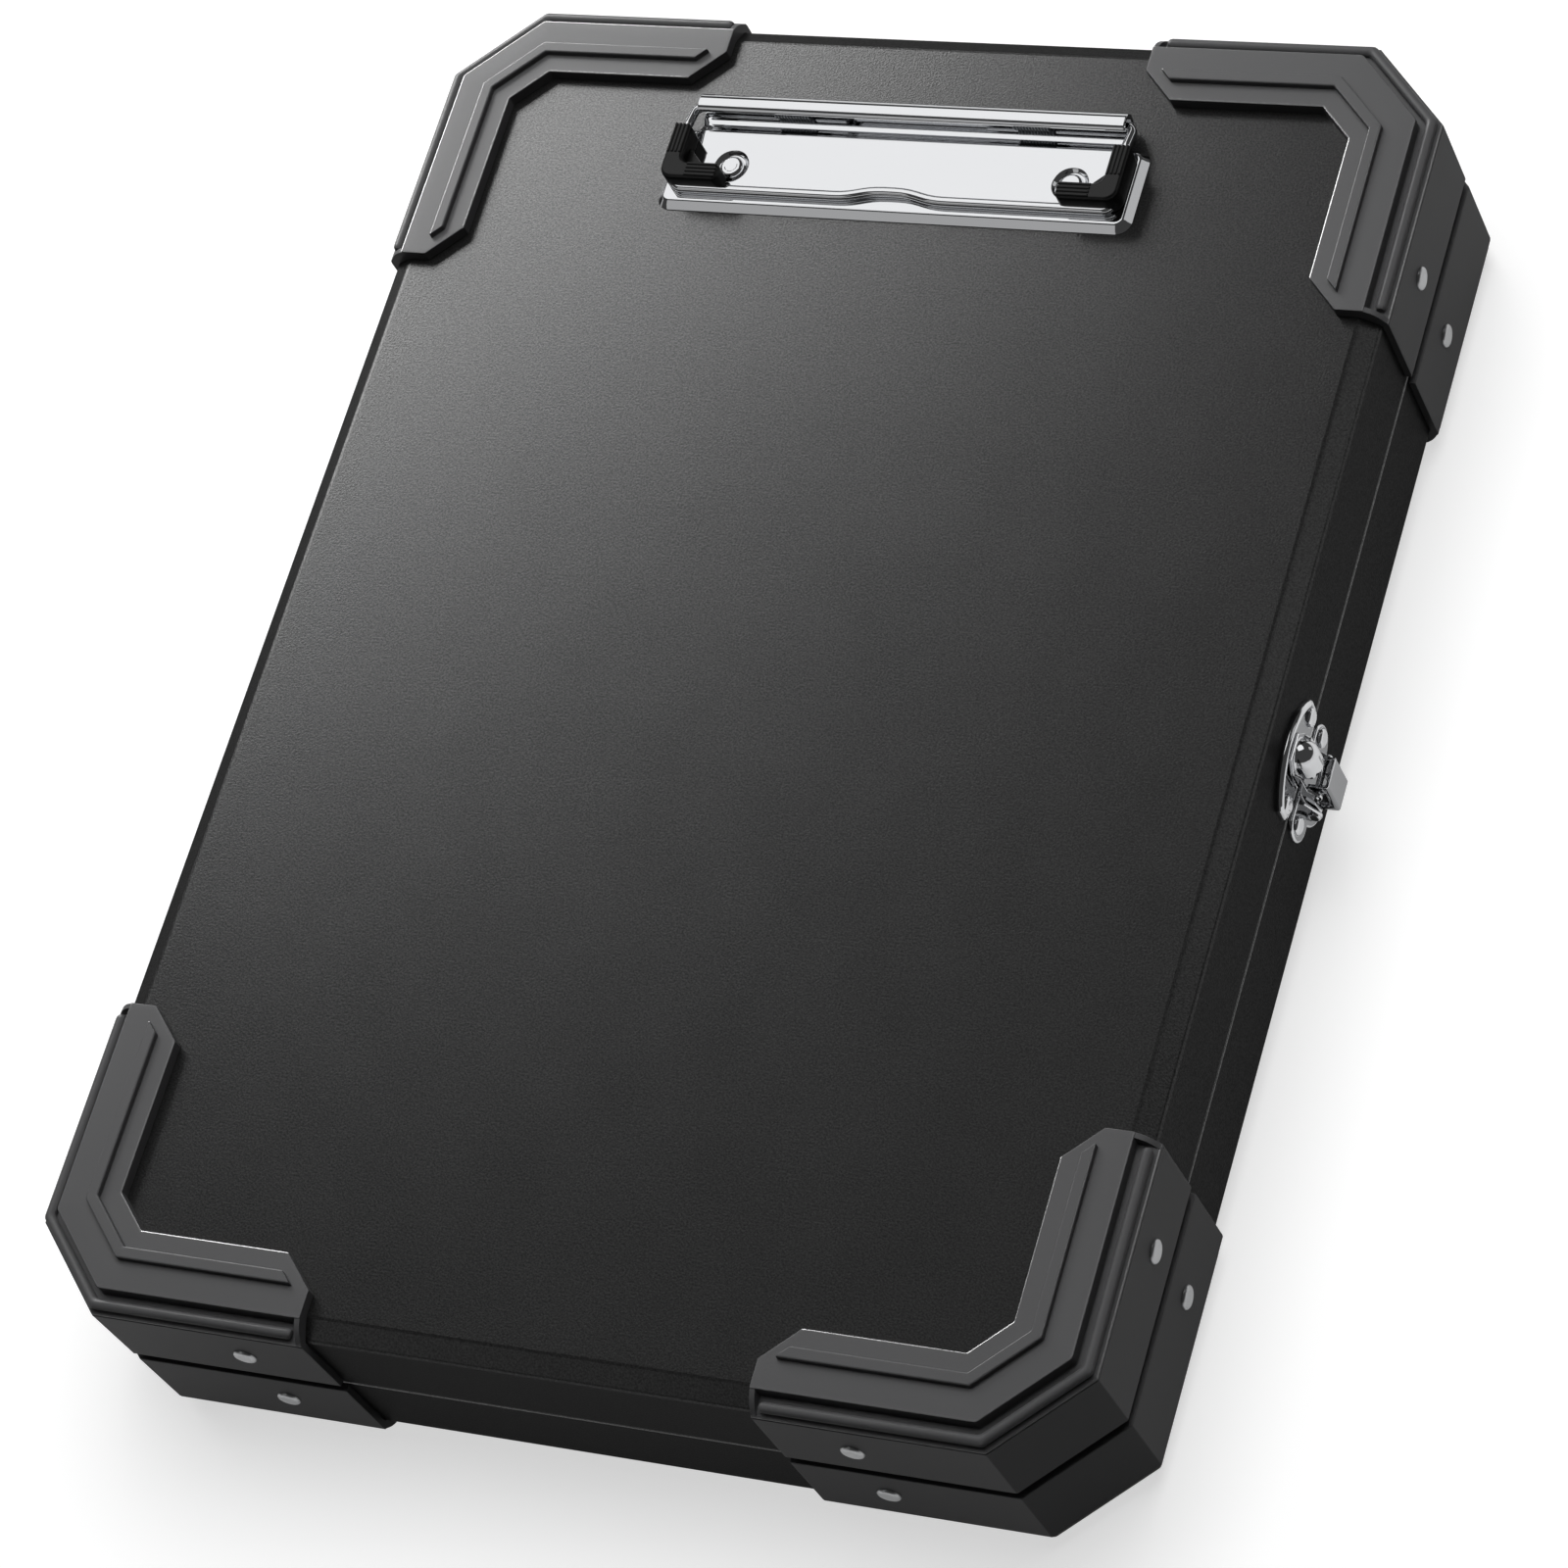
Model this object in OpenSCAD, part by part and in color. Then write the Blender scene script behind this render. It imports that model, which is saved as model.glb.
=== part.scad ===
// Storage clipboard box: a shallow two-part metal case with a piano hinge along the
// left long side, a spring latch hasp on the right, corner guards on all eight corners
// and a wire-bail paper clip on the lid.  Units are millimetres.
// Frame: X across the case (latch side +X), Y along it (clip end +Y), Z up out of the lid.
// Z = 0 is the surface the case lies on; X = Y = 0 is the middle of the bounding box.

/* [Which piece] */
// Piece to draw, or "all" for the whole case

/* [Case] */
// Overall width across the corner guards
case_w = 254; // [220:1:320]
// Overall length across the corner guards
case_l = 348; // [300:1:420]
// Depth of the tray, parting line to underside
tray_depth = 25.4; // [22:0.2:45]
// Depth of the lid, parting line to writing panel
lid_depth = 25.4; // [22:0.2:45]
// Sheet thickness of tray and lid
sheet = 1.2; // [0.8:0.1:2]
// Width of the sloping band round the panel, seen from above
bevel_w = 4.1; // [2:0.1:6]
// Drop of that sloping band
bevel_h = 3; // [1.5:0.1:4]
// Height of the folded hem inside each rim
hem_h = 6; // [3:0.5:9]
// Thickness of the folded hem
hem_t = 0.9; // [0.5:0.1:1.5]
// Gap between tray and lid rims
part_gap = 0.3; // [0.2:0.1:1]

/* [Corner guards] */
// Length of each leg from the case's outer corner
guard_leg = 73; // [55:1:85]
// Thickness of the guard's side wall
guard_wall = 1.7; // [1.2:0.1:3]
// Thickness of the guard's face plate
guard_plate = 3; // [2:0.1:4]
// Inset of the face plate's outer edge
face_in = 4.8; // [4.5:0.1:6]
// Inset of the face plate's inner edge
face_to = 19.5; // [17:0.1:24]
// Corner cut at the outer wall, along each side
corner_cut = 19.6; // [16:0.1:26]
// Slant cut off the inner end of each leg
leg_slant = 8; // [5:0.1:11]
// Gap from the parting line to each guard
guard_gap = 1.35; // [0.8:0.05:2.5]
// Rib height on the face plate
rib_h = 1.6; // [0.8:0.1:2.5]
// Rib width
rib_w = 2.8; // [2:0.1:4]
// Rib distance from the plate's inner edge
rib_in = 4.8; // [3.5:0.1:6]
// Bead radius along the guard's edge
bead_r = 1.25; // [0.8:0.05:1.25]

/* [Rivets] */
// Head diameter of a guard rivet
guard_head_d = 5.5; // [4:0.1:7]
// Guard rivet's distance from the leg end
guard_rivet_in = 19.5; // [12:0.5:30]
// Guard rivet's distance from the parting line
guard_rivet_z = 12; // [9:0.5:15]
// Shank diameter of every rivet
shank_d = 3.2; // [2.4:0.1:4]
// Space between a shank and its hole
shank_gap = 0.05; // [0.02:0.01:0.2]

/* [Hinge] */
// Gap from each end of the hinge to the corner guard
hinge_end = 6; // [2:0.5:30]
// Number of knuckles, odd
knuckles = 19; // [9:2:25]
// Knuckle diameter
knuckle_d = 4.6; // [4:0.1:5]
// Hinge pin diameter
pin_d = 2.2; // [1.6:0.1:2.6]
// Pin clearance in the knuckles, on the radius
pin_gap = 0.05; // [0.03:0.01:0.1]
// Gap from the knuckles to the case wall
knuckle_off = 0.4; // [0.3:0.05:1]
// Leaf thickness
leaf_t = 0.8; // [0.6:0.1:1.2]
// Leaf height beyond the knuckles
leaf_h = 13; // [9:0.5:15]
// Rivets in each leaf
leaf_rivets = 6; // [4:1:8]

/* [Paper clip] */
// Width of the clip plate
clip_w = 121; // [100:1:140]
// Front edge of the clip plate, from the case's outer end
clip_front = 55; // [50:0.5:70]
// Clip plate's depth, front edge to roll axis
clip_d = 26.7; // [24:0.1:34]
// Height of the clip plate's top above the panel
clip_h = 2; // [1.6:0.1:3]
// Clip sheet thickness
clip_t = 1; // [0.7:0.1:1.2]
// Outer diameter of the rolled edge
roll_d = 6.2; // [5.6:0.1:7]
// Distance from the plate's side edges to the ends of the roll
roll_in_x = 5.9; // [5:0.1:10]
// Wire diameter
wire_d = 2.3; // [1.8:0.1:2.8]
// Distance from the plate's side edges to the clip rivets
clip_rivet_in = 17.1; // [14:0.1:25]
// Distance from the plate's front edge to the clip rivets
clip_rivet_back = 11.9; // [10:0.1:14]
// Clip rivet head diameter
clip_head_d = 6.1; // [5:0.1:7]
// Length of each rubber grip's legs
grip_leg = 15.3; // [12:0.1:20]
// Width of the rubber grips
grip_w = 4.6; // [4:0.1:6]
// Height of the rubber grips
grip_h = 6.3; // [5.6:0.1:8]

/* [Latch] */
// Half width of the latch plates
latch_half = 14; // [12:0.5:18]
// Width of the flip lever
lever_w = 7.8; // [7:0.1:9]
// Outward reach of the flip lever from the case wall
lever_out = 7.7; // [7.5:0.1:9]
// Height of the flip lever
lever_h = 10.4; // [9.5:0.1:11]
// Radius of the hasp's domed head
dome_r = 3.6; // [3.2:0.1:4]
// Head diameter of the latch rivets
latch_head_d = 4.6; // [4:0.1:5.6]
// Space from the lever's side to the hasp's wing
wing_gap = 0.5; // [0.3:0.05:1]

/* [Hidden] */
$fn = 64;
eps = 0.01;

// outer half sizes: guards, shells
ax = case_w / 2;
by = case_l / 2;
shell_in = guard_wall;
sx = ax - shell_in;
sy = by - shell_in;

// heights
z_mid = rib_h + guard_plate + tray_depth;
z_panel = z_mid + lid_depth;

// sideways shift that centres the bounding box on X = 0
hinge_out = knuckle_d / 2 + knuckle_off;
hinge_reach = hinge_out + knuckle_d / 2;
x_off = (hinge_reach - lever_out) / 2;

// a 45 degree cut moves by this much for each unit of inset
cut_k = 2 - sqrt(2);
function cut_at(i) = corner_cut - i * cut_k;

// groove, bead and crease of the guard's edge, as drops below the face
crease_drop = 5.2;
bead_drop = 1.85;
bead_in = face_in - 1.5 - bead_r;
groove_drop = 3.3;
edge_break = 0.5;
crease_r = 0.3;
bead_stop = 1;
rib_stop = 2.4;

// rivets
shank_r = shank_d / 2;
hole_r = shank_r + shank_gap;
tail_h = 0.9;
tail_r = shank_r + 0.8;
guard_head_h = 0.8;
leaf_head_h = 0.6;
latch_head_h = 0.9;

// hinge
hx = -(sx + hinge_out);
knuckle_r = knuckle_d / 2;
hinge_l = case_l - 2 * guard_leg - 2 * hinge_end;
pitch = hinge_l / knuckles;
knuckle_gap = 0.35;
leaf_clear = 0.35;
leaf_rivet_z = knuckle_r + leaf_clear + leaf_h / 2;

// clip
clip_y0 = -by + case_l - clip_front;
axle_y = clip_y0 + clip_d;
roll_r = roll_d / 2;
roll_l = clip_w - 2 * roll_in_x;
roll_in = roll_r - clip_t;
axle_z = z_panel + clip_h - clip_t + roll_r;
plate_z = z_panel + clip_h;
skirt_end = axle_y - 3.8;
wire_r = wire_d / 2;
leg_x = roll_l / 2 + wire_r + 0.3;
grip_in = 0.15;
wire_front = clip_y0 + clip_h + grip_in + grip_w / 2;
wire_z = plate_z + wire_r + 0.05;
leg_top_y = axle_y - 6.5;
leg_top_z = axle_z + 1.5;
stub_in = 18;
spring_x = stub_in + 8;
clip_rivet_x = clip_w / 2 - clip_rivet_in;
clip_rivet_y = clip_y0 + clip_rivet_back;
dish_r = 4.3;
wire_bend = 2.2;
wave_bend = 22;
wave_top = 4.4;
wave_foot = 11;
wave_rise = 1.8;

// latch, in local x out of the wall, y along it and z from the parting line
plate_t = 1;
latch_gap = 0.35;
wing_t = 0.8;
wing_y = lever_w / 2 + wing_gap;
ear_y = wing_y + wing_t + 0.3;
ear_t = 0.8;
hasp_x = 2.6;
hasp_z = -8.6;
hasp_pin_r = 0.9;
lever_x = 4.4;
lever_z = -1.8;
lever_pin_r = 0.8;
lever_top = 0.8;
run_gap = 0.05;
latch_rivet_y = 10.9;
latch_grip = plate_t + sheet + hem_t;
keeper_rivet_z = 5;
base_rivet_z = -4.5;

// ---------------------------------------------------------------- helpers

// put the case so that its bounding box is centred on X = 0
module place() { translate([x_off, 0, 0]) children(); }

// extrude a (y, z) profile along X from x0 over length l
module along_x(x0, l) { translate([x0, 0, 0]) rotate([90, 0, 90]) linear_extrude(l) children(); }

// extrude an (x, z) profile along Y from y0 over length l
module along_y(y0, l) { translate([0, y0 + l, 0]) rotate([90, 0, 0]) linear_extrude(l) children(); }

// cylinder lying along X or Y
module rod_x(r, x0, x1) { translate([x0, 0, 0]) rotate([0, 90, 0]) cylinder(r = r, h = x1 - x0); }
module rod_y(r, y0, y1) { translate([0, y1, 0]) rotate([90, 0, 0]) cylinder(r = r, h = y1 - y0); }

// the four mirror images of a piece made for the +X +Y corner
module corner(sx_, sy_) { mirror([sx_ < 0 ? 1 : 0, 0, 0]) mirror([0, sy_ < 0 ? 1 : 0, 0]) children(); }

// rivet along +Z: seat at z = 0, head above, grip below, upset tail beyond
module rivet(head_d, head_h, grip) {
  cylinder(d = head_d, h = head_h - 0.25);
  translate([0, 0, head_h - 0.25]) cylinder(d1 = head_d, d2 = head_d - 0.9, h = 0.25);
  translate([0, 0, -grip - tail_h / 2]) cylinder(r = shank_r, h = grip + tail_h / 2 + eps);
  translate([0, 0, -grip - tail_h]) cylinder(r = tail_r, h = tail_h);
}

// ---------------------------------------------------------------- shells

// shell section across a half width w: walls, slope and flat top (heights from the parting)
module shell_section(w, i, depth) {
  polygon([
    [-w + i, part_gap / 2], [w - i, part_gap / 2],
    [w - i, depth - bevel_h - i * 0.4], [w - i - bevel_w, depth - i],
    [-w + i + bevel_w, depth - i], [-w + i, depth - bevel_h - i * 0.4]
  ]);
}

// solid with the shell's outline, inset i all round
module shell_block(i, depth) {
  diag = (sx + sy - cut_at(shell_in)) / sqrt(2);
  intersection() {
    along_y(-sy - 1 + i, 2 * sy + 2 - 2 * i) shell_section(sx, i, depth);
    along_x(-sx - 1 + i, 2 * sx + 2 - 2 * i) shell_section(sy, i, depth);
    rotate([0, 0, 45]) along_y(-sx - sy, 2 * (sx + sy)) shell_section(diag, i, depth);
    rotate([0, 0, -45]) along_y(-sx - sy, 2 * (sx + sy)) shell_section(diag, i, depth);
  }
}

// octagonal plan of the shell, inset i
module shell_plan(i) {
  c = cut_at(shell_in) - i * cut_k;
  w = sx - i;
  l = sy - i;
  polygon([
    [w, -l + c], [w, l - c], [w - c, l], [-w + c, l],
    [-w, l - c], [-w, -l + c], [-w + c, -l], [w - c, -l]
  ]);
}

// one half of the case, open at the parting line, with its folded hem
module half_case(depth) {
  difference() {
    shell_block(0, depth);
    difference() {
      shell_block(sheet, depth);
      translate([0, 0, -1]) linear_extrude(part_gap / 2 + 1) shell_plan(-2);
    }
    translate([0, 0, part_gap / 2 - 1]) linear_extrude(1 + eps) shell_plan(sheet);
  }
  translate([0, 0, part_gap / 2]) linear_extrude(hem_h) difference() {
    shell_plan(sheet - eps);
    shell_plan(sheet + hem_t);
  }
}

// everything that pierces the side walls of one half: guard rivets
module guard_holes() {
  for (s = [-1, 1], t = [-1, 1]) {
    translate([s * (ax - guard_leg + guard_rivet_in), 0, guard_rivet_z])
      rod_y(hole_r, t > 0 ? sy - 6 : -by - 1, t > 0 ? by + 1 : -sy + 6);
    translate([0, t * (by - guard_leg + guard_rivet_in), guard_rivet_z])
      rod_x(hole_r, s > 0 ? sx - 6 : -ax - 1, s > 0 ? ax + 1 : -sx + 6);
  }
}

// leaf rivet holes in the left wall
module leaf_holes() {
  for (k = [0 : leaf_rivets - 1])
    translate([0, leaf_rivet_y(k), leaf_rivet_z]) rod_x(hole_r, -sx - 2, -sx + 6);
}
function leaf_rivet_y(k) = hinge_l * ((k + 0.5) / leaf_rivets - 0.5);

// latch rivet holes in the right wall, at local height h
module latch_holes(h) {
  for (s = [-1, 1]) translate([0, s * latch_rivet_y, h]) rod_x(hole_r, sx - 6, sx + plate_t + 1);
}

module base_tray() color("#26272a") place() translate([0, 0, z_mid]) mirror([0, 0, 1])
  difference() {
    half_case(tray_depth);
    guard_holes();
    leaf_holes();
    latch_holes(-base_rivet_z);
  }

module lid_shell() color("#2b2c2f") place() translate([0, 0, z_mid])
  difference() {
    half_case(lid_depth);
    guard_holes();
    leaf_holes();
    latch_holes(keeper_rivet_z);
    for (s = [-1, 1]) translate([s * clip_rivet_x, clip_rivet_y, lid_depth - 6])
      cylinder(r = hole_r, h = 8);
  }

// ---------------------------------------------------------------- corner guards

// solid over the +X +Y corner whose three sides all follow one profile: x is minus the
// inset from the outer wall, y the height over the parting line
module corner_block() {
  reach = guard_leg + 12;
  intersection() {
    translate([ax, 0, 0]) along_y(by - reach, reach + 1) children();
    translate([0, by, 0]) along_x(ax - reach, reach + 1) children();
    translate([ax - corner_cut / 2, by - corner_cut / 2, 0]) rotate([0, 0, 45]) along_y(-160, 320) children();
  }
}

// side wall with its sloping shoulder, up to the floor of the groove
module guard_shoulder(face) {
  polygon([
    [0, guard_gap], [0, face - crease_drop], [-(bead_in - 0.9), face - crease_drop + 1.6],
    [-bead_in, face - groove_drop], [-160, face - groove_drop], [-160, guard_gap]
  ]);
}

// face plate with its broken edge
module guard_face(face) {
  polygon([
    [-face_in, guard_gap], [-face_in, face - edge_break], [-(face_in + edge_break), face],
    [-160, face], [-160, guard_gap]
  ]);
}

// what the plate's inner edge leaves open
module guard_opening(face) {
  polygon([
    [-face_to, -1], [-face_to, face - edge_break], [-(face_to - edge_break), face],
    [-(face_to - edge_break - 1), face + 1], [-170, face + 1], [-170, -1]
  ]);
}

// outline of the case at inset i, cut square past the leg ends
module corner_outline(i) {
  c = cut_at(i);
  w = ax - i;
  l = by - i;
  polygon([[w, by - 2 * guard_leg], [w, l - c], [w - c, l], [ax - 2 * guard_leg, l],
    [ax - 2 * guard_leg, by - 2 * guard_leg]]);
}

// plan of the two legs, its slanted ends moved in by e
module leg_plan(e) {
  s = face_to - leg_slant;
  q = e * sqrt(2);
  polygon([
    [ax + 1, by + 1], [ax - guard_leg, by + 1], [ax - guard_leg, by - s + q],
    [ax - s + q, by - guard_leg], [ax + 1, by - guard_leg]
  ]);
}

// rounded bead along the guard's upper edge, stopping short of the leg ends
module guard_bead(z) {
  i = bead_in;
  c = cut_at(i);
  p = [ax - i, by - i - c, z];
  q = [ax - i - c, by - i, z];
  translate([p.x, 0, z]) rod_y(bead_r, by - guard_leg + bead_stop, p.y);
  translate([0, q.y, z]) rod_x(bead_r, ax - guard_leg + bead_stop, q.x);
  translate(p) rotate([0, 0, 45]) rod_y(bead_r, 0, norm(q - p));
  translate(p) rotate([90, 0, 0]) sphere(bead_r + eps);
  translate(q) rotate([0, 90, 0]) sphere(bead_r + eps);
}

// fine crease where the wall meets the shoulder
module guard_crease(z) {
  translate([ax, 0, z]) rotate([90, 0, 0]) cylinder(r = crease_r, h = 2 * by, center = true, $fn = 4);
  translate([0, by, z]) rotate([90, 0, 90]) cylinder(r = crease_r, h = 2 * ax, center = true, $fn = 4);
  translate([ax - corner_cut / 2, by - corner_cut / 2, z]) rotate([0, 0, 45]) rotate([90, 0, 0])
    cylinder(r = crease_r, h = 80, center = true, $fn = 4);
}

// guard of the +X +Y corner, heights from the parting line
module guard_body(depth) {
  face = depth + guard_plate;
  difference() {
    union() {
      difference() {
        intersection() {
          union() {
            corner_block() guard_shoulder(face);
            corner_block() guard_face(face);
          }
          translate([0, 0, -1]) linear_extrude(face + 2) leg_plan(0);
        }
        corner_block() guard_opening(face);
      }
      guard_bead(face - bead_drop - bead_r);
      // raised rib that follows the face plate
      translate([0, 0, face - edge_break]) linear_extrude(rib_h + edge_break) intersection() {
        difference() {
          corner_outline(face_to - rib_in - rib_w);
          corner_outline(face_to - rib_in);
        }
        leg_plan(rib_stop);
      }
    }
    shell_block(0, depth);
    guard_crease(face - crease_drop);
    guard_holes();
  }
}

module lid_guard(s, t) color("#3a3b3d") place() translate([0, 0, z_mid]) corner(s, t) guard_body(lid_depth);

module base_guard(s, t) color("#2f3032") place() translate([0, 0, z_mid]) mirror([0, 0, 1])
  corner(s, t) guard_body(tray_depth);

module guard_rivets() {
  grip = guard_wall + sheet;
  for (s = [-1, 1], t = [-1, 1]) {
    translate([s * (ax - guard_leg + guard_rivet_in), t * by, guard_rivet_z])
      rotate([t > 0 ? -90 : 90, 0, 0]) rivet(guard_head_d, guard_head_h, grip);
    translate([s * ax, t * (by - guard_leg + guard_rivet_in), guard_rivet_z])
      rotate([0, s > 0 ? 90 : -90, 0]) rivet(guard_head_d, guard_head_h, grip);
  }
}

module lid_guard_rivets() color("#c9cacc") place() translate([0, 0, z_mid]) guard_rivets();
module base_guard_rivets() color("#c9cacc") place() translate([0, 0, z_mid]) mirror([0, 0, 1]) guard_rivets();

// ---------------------------------------------------------------- hinge

// leaf with the knuckles whose index has parity p, made for the lid
module hinge_leaf(p) {
  z0 = knuckle_r + leaf_clear;
  difference() {
    union() {
      translate([-sx - leaf_t, -hinge_l / 2, z0]) cube([leaf_t, hinge_l, leaf_h]);
      for (k = [p : 2 : knuckles - 1]) translate([0, k * pitch - hinge_l / 2, 0]) {
        translate([hx, 0, 0]) rod_y(knuckle_r, knuckle_gap / 2, pitch - knuckle_gap / 2);
        translate([hx, knuckle_gap / 2, part_gap])
          cube([hinge_out, pitch - knuckle_gap, knuckle_r - part_gap]);
        translate([-sx - leaf_t, knuckle_gap / 2, part_gap])
          cube([leaf_t, pitch - knuckle_gap, z0 - part_gap + eps]);
      }
    }
    translate([hx, 0, 0]) rod_y(pin_d / 2 + pin_gap, -hinge_l / 2 - 1, hinge_l / 2 + 1);
    leaf_holes();
  }
}

module hinge_lid_leaf() color("#b9bbbe") place() translate([0, 0, z_mid]) hinge_leaf(1);
module hinge_base_leaf() color("#b9bbbe") place() translate([0, 0, z_mid]) mirror([0, 0, 1]) hinge_leaf(0);
module hinge_pin() color("#a9abae") place() translate([hx, 0, z_mid])
  rod_y(pin_d / 2, -hinge_l / 2, hinge_l / 2);

module leaf_rivets_set() {
  for (k = [0 : leaf_rivets - 1]) translate([-sx - leaf_t, leaf_rivet_y(k), leaf_rivet_z])
    rotate([0, -90, 0]) rivet(latch_head_d, leaf_head_h, leaf_t + sheet);
}
module hinge_lid_rivets() color("#c9cacc") place() translate([0, 0, z_mid]) leaf_rivets_set();
module hinge_base_rivets() color("#c9cacc") place() translate([0, 0, z_mid]) mirror([0, 0, 1])
  leaf_rivets_set();

// ---------------------------------------------------------------- paper clip

// skirted plate outline, inset i from the outside of the sheet
module clip_block(i) {
  top = clip_h - i;
  low = clip_w / 2 - i * 1.4;
  intersection() {
    along_y(clip_y0 - 2, clip_d + 4)
      polygon([[-low, -eps], [low, -eps], [low - top, top], [-low + top, top]]);
    along_x(-clip_w, 2 * clip_w) polygon([
      [clip_y0 + i * 1.4, -eps], [skirt_end, -eps], [skirt_end, top], [clip_y0 + i * 1.4 + top, top]
    ]);
    linear_extrude(clip_h + 1) clip_corner(3.5 - i);
  }
}

// plan of the plate with rounded front corners
module clip_corner(r) {
  x1 = clip_w / 2 - (3.5 - r) * 1.4 - r;
  y1 = clip_y0 + (3.5 - r) * 1.4 + r;
  union() {
    for (s = [-1, 1]) translate([s * x1, y1]) circle(r);
    translate([-x1, y1 - r]) square([2 * x1, clip_d]);
    translate([-x1 - r, y1]) square([2 * (x1 + r), clip_d]);
  }
}

module clip_plate() color("#cfd1d4") place() translate([0, 0, z_panel]) difference() {
  union() {
    difference() {
      clip_block(0);
      translate([0, 0, -eps]) clip_block(clip_t);
    }
    // plate runs back under the roll
    translate([-roll_l / 2, skirt_end - 1, clip_h - clip_t]) cube([roll_l, axle_y - skirt_end + 1, clip_t]);
    // rolled rear edge, open towards the front
    along_x(-roll_l / 2, roll_l) translate([axle_y, axle_z - z_panel]) difference() {
      circle(roll_r);
      circle(roll_in);
      polygon([[0, 0], [-9, 9], [-9, -9], [0, -9]]);
    }
    for (s = [-1, 1]) translate([s * clip_rivet_x, clip_rivet_y, 0]) cylinder(r = dish_r + 0.4, h = clip_h);
  }
  for (s = [-1, 1]) translate([s * clip_rivet_x, clip_rivet_y, 0]) {
    translate([0, 0, clip_h - 1]) cylinder(r1 = dish_r - 0.7, r2 = dish_r + 0.02, h = 1 + eps);
    translate([0, 0, -1]) cylinder(r = hole_r, h = 4);
  }
}

module clip_rivets() color("#d7d9db") place()
  for (s = [-1, 1]) translate([s * clip_rivet_x, clip_rivet_y, plate_z - 1])
    rivet(clip_head_d, 1.2, clip_h - 1 + sheet);

// point k of a bent wire p where its straight run meets the bend at that point: side -1 before, 1 after
function unit(v) = v / norm(v);
function turn(p, k) = acos(unit(p[k] - p[k - 1]) * unit(p[k + 1] - p[k]));
function bend_end(p, b, k, side) = k == 0 || k == len(p) - 1 ? p[k]
  : p[k] + unit(p[k + side] - p[k]) * b[k] * tan(turn(p, k) / 2);

// wire of radius r through the points p, bent to the radii b at each inner point;
// each straight run reaches a little way into the bends, which are a hair thicker
module bent_wire(p, b, r) {
  lap = 0.04;
  for (k = [0 : len(p) - 2]) {
    u = unit(p[k + 1] - p[k]);
    q0 = bend_end(p, b, k, 1) - u * (k > 0 ? lap : 0);
    l = norm(bend_end(p, b, k + 1, -1) + u * (k < len(p) - 2 ? lap : 0) - q0);
    translate(q0) rotate([0, acos(u.z), atan2(u.y, u.x)]) cylinder(r = r, h = l);
  }
  for (k = [1 : len(p) - 2]) {
    u = unit(p[k] - p[k - 1]);
    v = unit(p[k + 1] - p[k]);
    n = unit(v - u * (u * v));
    w = cross(-n, u);
    c = bend_end(p, b, k, -1) + n * b[k];
    multmatrix([[-n.x, u.x, w.x, c.x], [-n.y, u.y, w.y, c.y], [-n.z, u.z, w.z, c.z], [0, 0, 0, 1]])
      rotate_extrude(angle = turn(p, k)) translate([b[k], 0]) circle(r + eps);
  }
}

// one half of the bail, from the middle of its wave back to the stub in the roll
function bail_half(s) = [
  [s * wave_top, wire_front + wave_rise, wire_z], [s * wave_foot, wire_front, wire_z],
  [s * leg_x, wire_front, wire_z], [s * leg_x, leg_top_y, leg_top_z],
  [s * leg_x, axle_y, axle_z], [s * stub_in, axle_y, axle_z]
];

module bail(r) {
  $fn = 36;
  half = bail_half(1);
  other = bail_half(-1);
  radii = [wave_bend, wave_bend, wire_bend, 4, wire_bend, 0];
  bent_wire(
    [for (k = [5 : -1 : 0]) other[k], for (k = [0 : 5]) half[k]],
    [for (k = [5 : -1 : 0]) radii[k], for (k = [0 : 5]) radii[k]], r);
}

module clip_wire() color("#c2c4c7") place() bail(wire_r);

// grip for the +X side
module grip() {
  xo = leg_x + grip_w / 2;
  yo = wire_front - grip_w / 2;
  ro = 2.6;
  difference() {
    translate([0, 0, plate_z + 0.05]) linear_extrude(grip_h) difference() {
      union() {
        translate([xo - grip_w, yo + ro]) square([grip_w, grip_leg - ro]);
        translate([xo - grip_leg, yo]) square([grip_leg - ro, grip_w]);
        translate([xo - ro, yo + ro]) circle(ro);
        translate([xo - grip_w - 2, yo + grip_w - eps]) square([2 + eps, 2]);
      }
      translate([xo - grip_w - 2, yo + grip_w + 2]) circle(2);
    }
    for (k = [-1 : 1]) translate([0, 0, plate_z + grip_h - 0.45]) {
      translate([xo - grip_w / 2 + k * 1.1 - 0.3, yo + grip_leg - 8, 0]) cube([0.6, 9, 1]);
      translate([xo - grip_leg - 1, yo + grip_w / 2 + k * 1.1 - 0.3, 0]) cube([9, 0.6, 1]);
    }
    bail(wire_r + 0.02);
  }
}

module clip_grip_left() color("#1b1c1d") place() mirror([1, 0, 0]) grip();
module clip_grip_right() color("#1b1c1d") place() grip();

// torsion spring: a wire wound round the stub, in the space that the roll leaves
spring_gap = 0.12;
spring_r = (roll_in - wire_r - 2 * spring_gap) / 2;
spring_turns = 12;
spring_seg = 12;
spring_step = 2 * spring_r + 0.06;
module coil() {
  cr = wire_r + spring_gap + spring_r;
  n = spring_turns * spring_seg;
  m = 5;
  pts = [for (i = [0 : n], j = [0 : m - 1])
    let (a = 360 * i / spring_seg - 90, b = 360 * j / m, q = cr + spring_r * cos(b))
    [spring_step * i / spring_seg + spring_r * sin(b), q * cos(a), q * sin(a)]];
  sides = [for (i = [0 : n - 1], j = [0 : m - 1])
    [i * m + j, (i + 1) * m + j, (i + 1) * m + (j + 1) % m, i * m + (j + 1) % m]];
  ends = [[for (j = [0 : m - 1]) j], [for (j = [m - 1 : -1 : 0]) n * m + j]];
  polyhedron(points = pts, faces = concat(sides, ends));
}

module clip_springs() color("#9fa1a4") place() translate([0, axle_y, axle_z]) for (s = [-1, 1])
  translate([s > 0 ? spring_x : -spring_x - spring_turns * spring_step, 0, 0]) coil();

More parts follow.
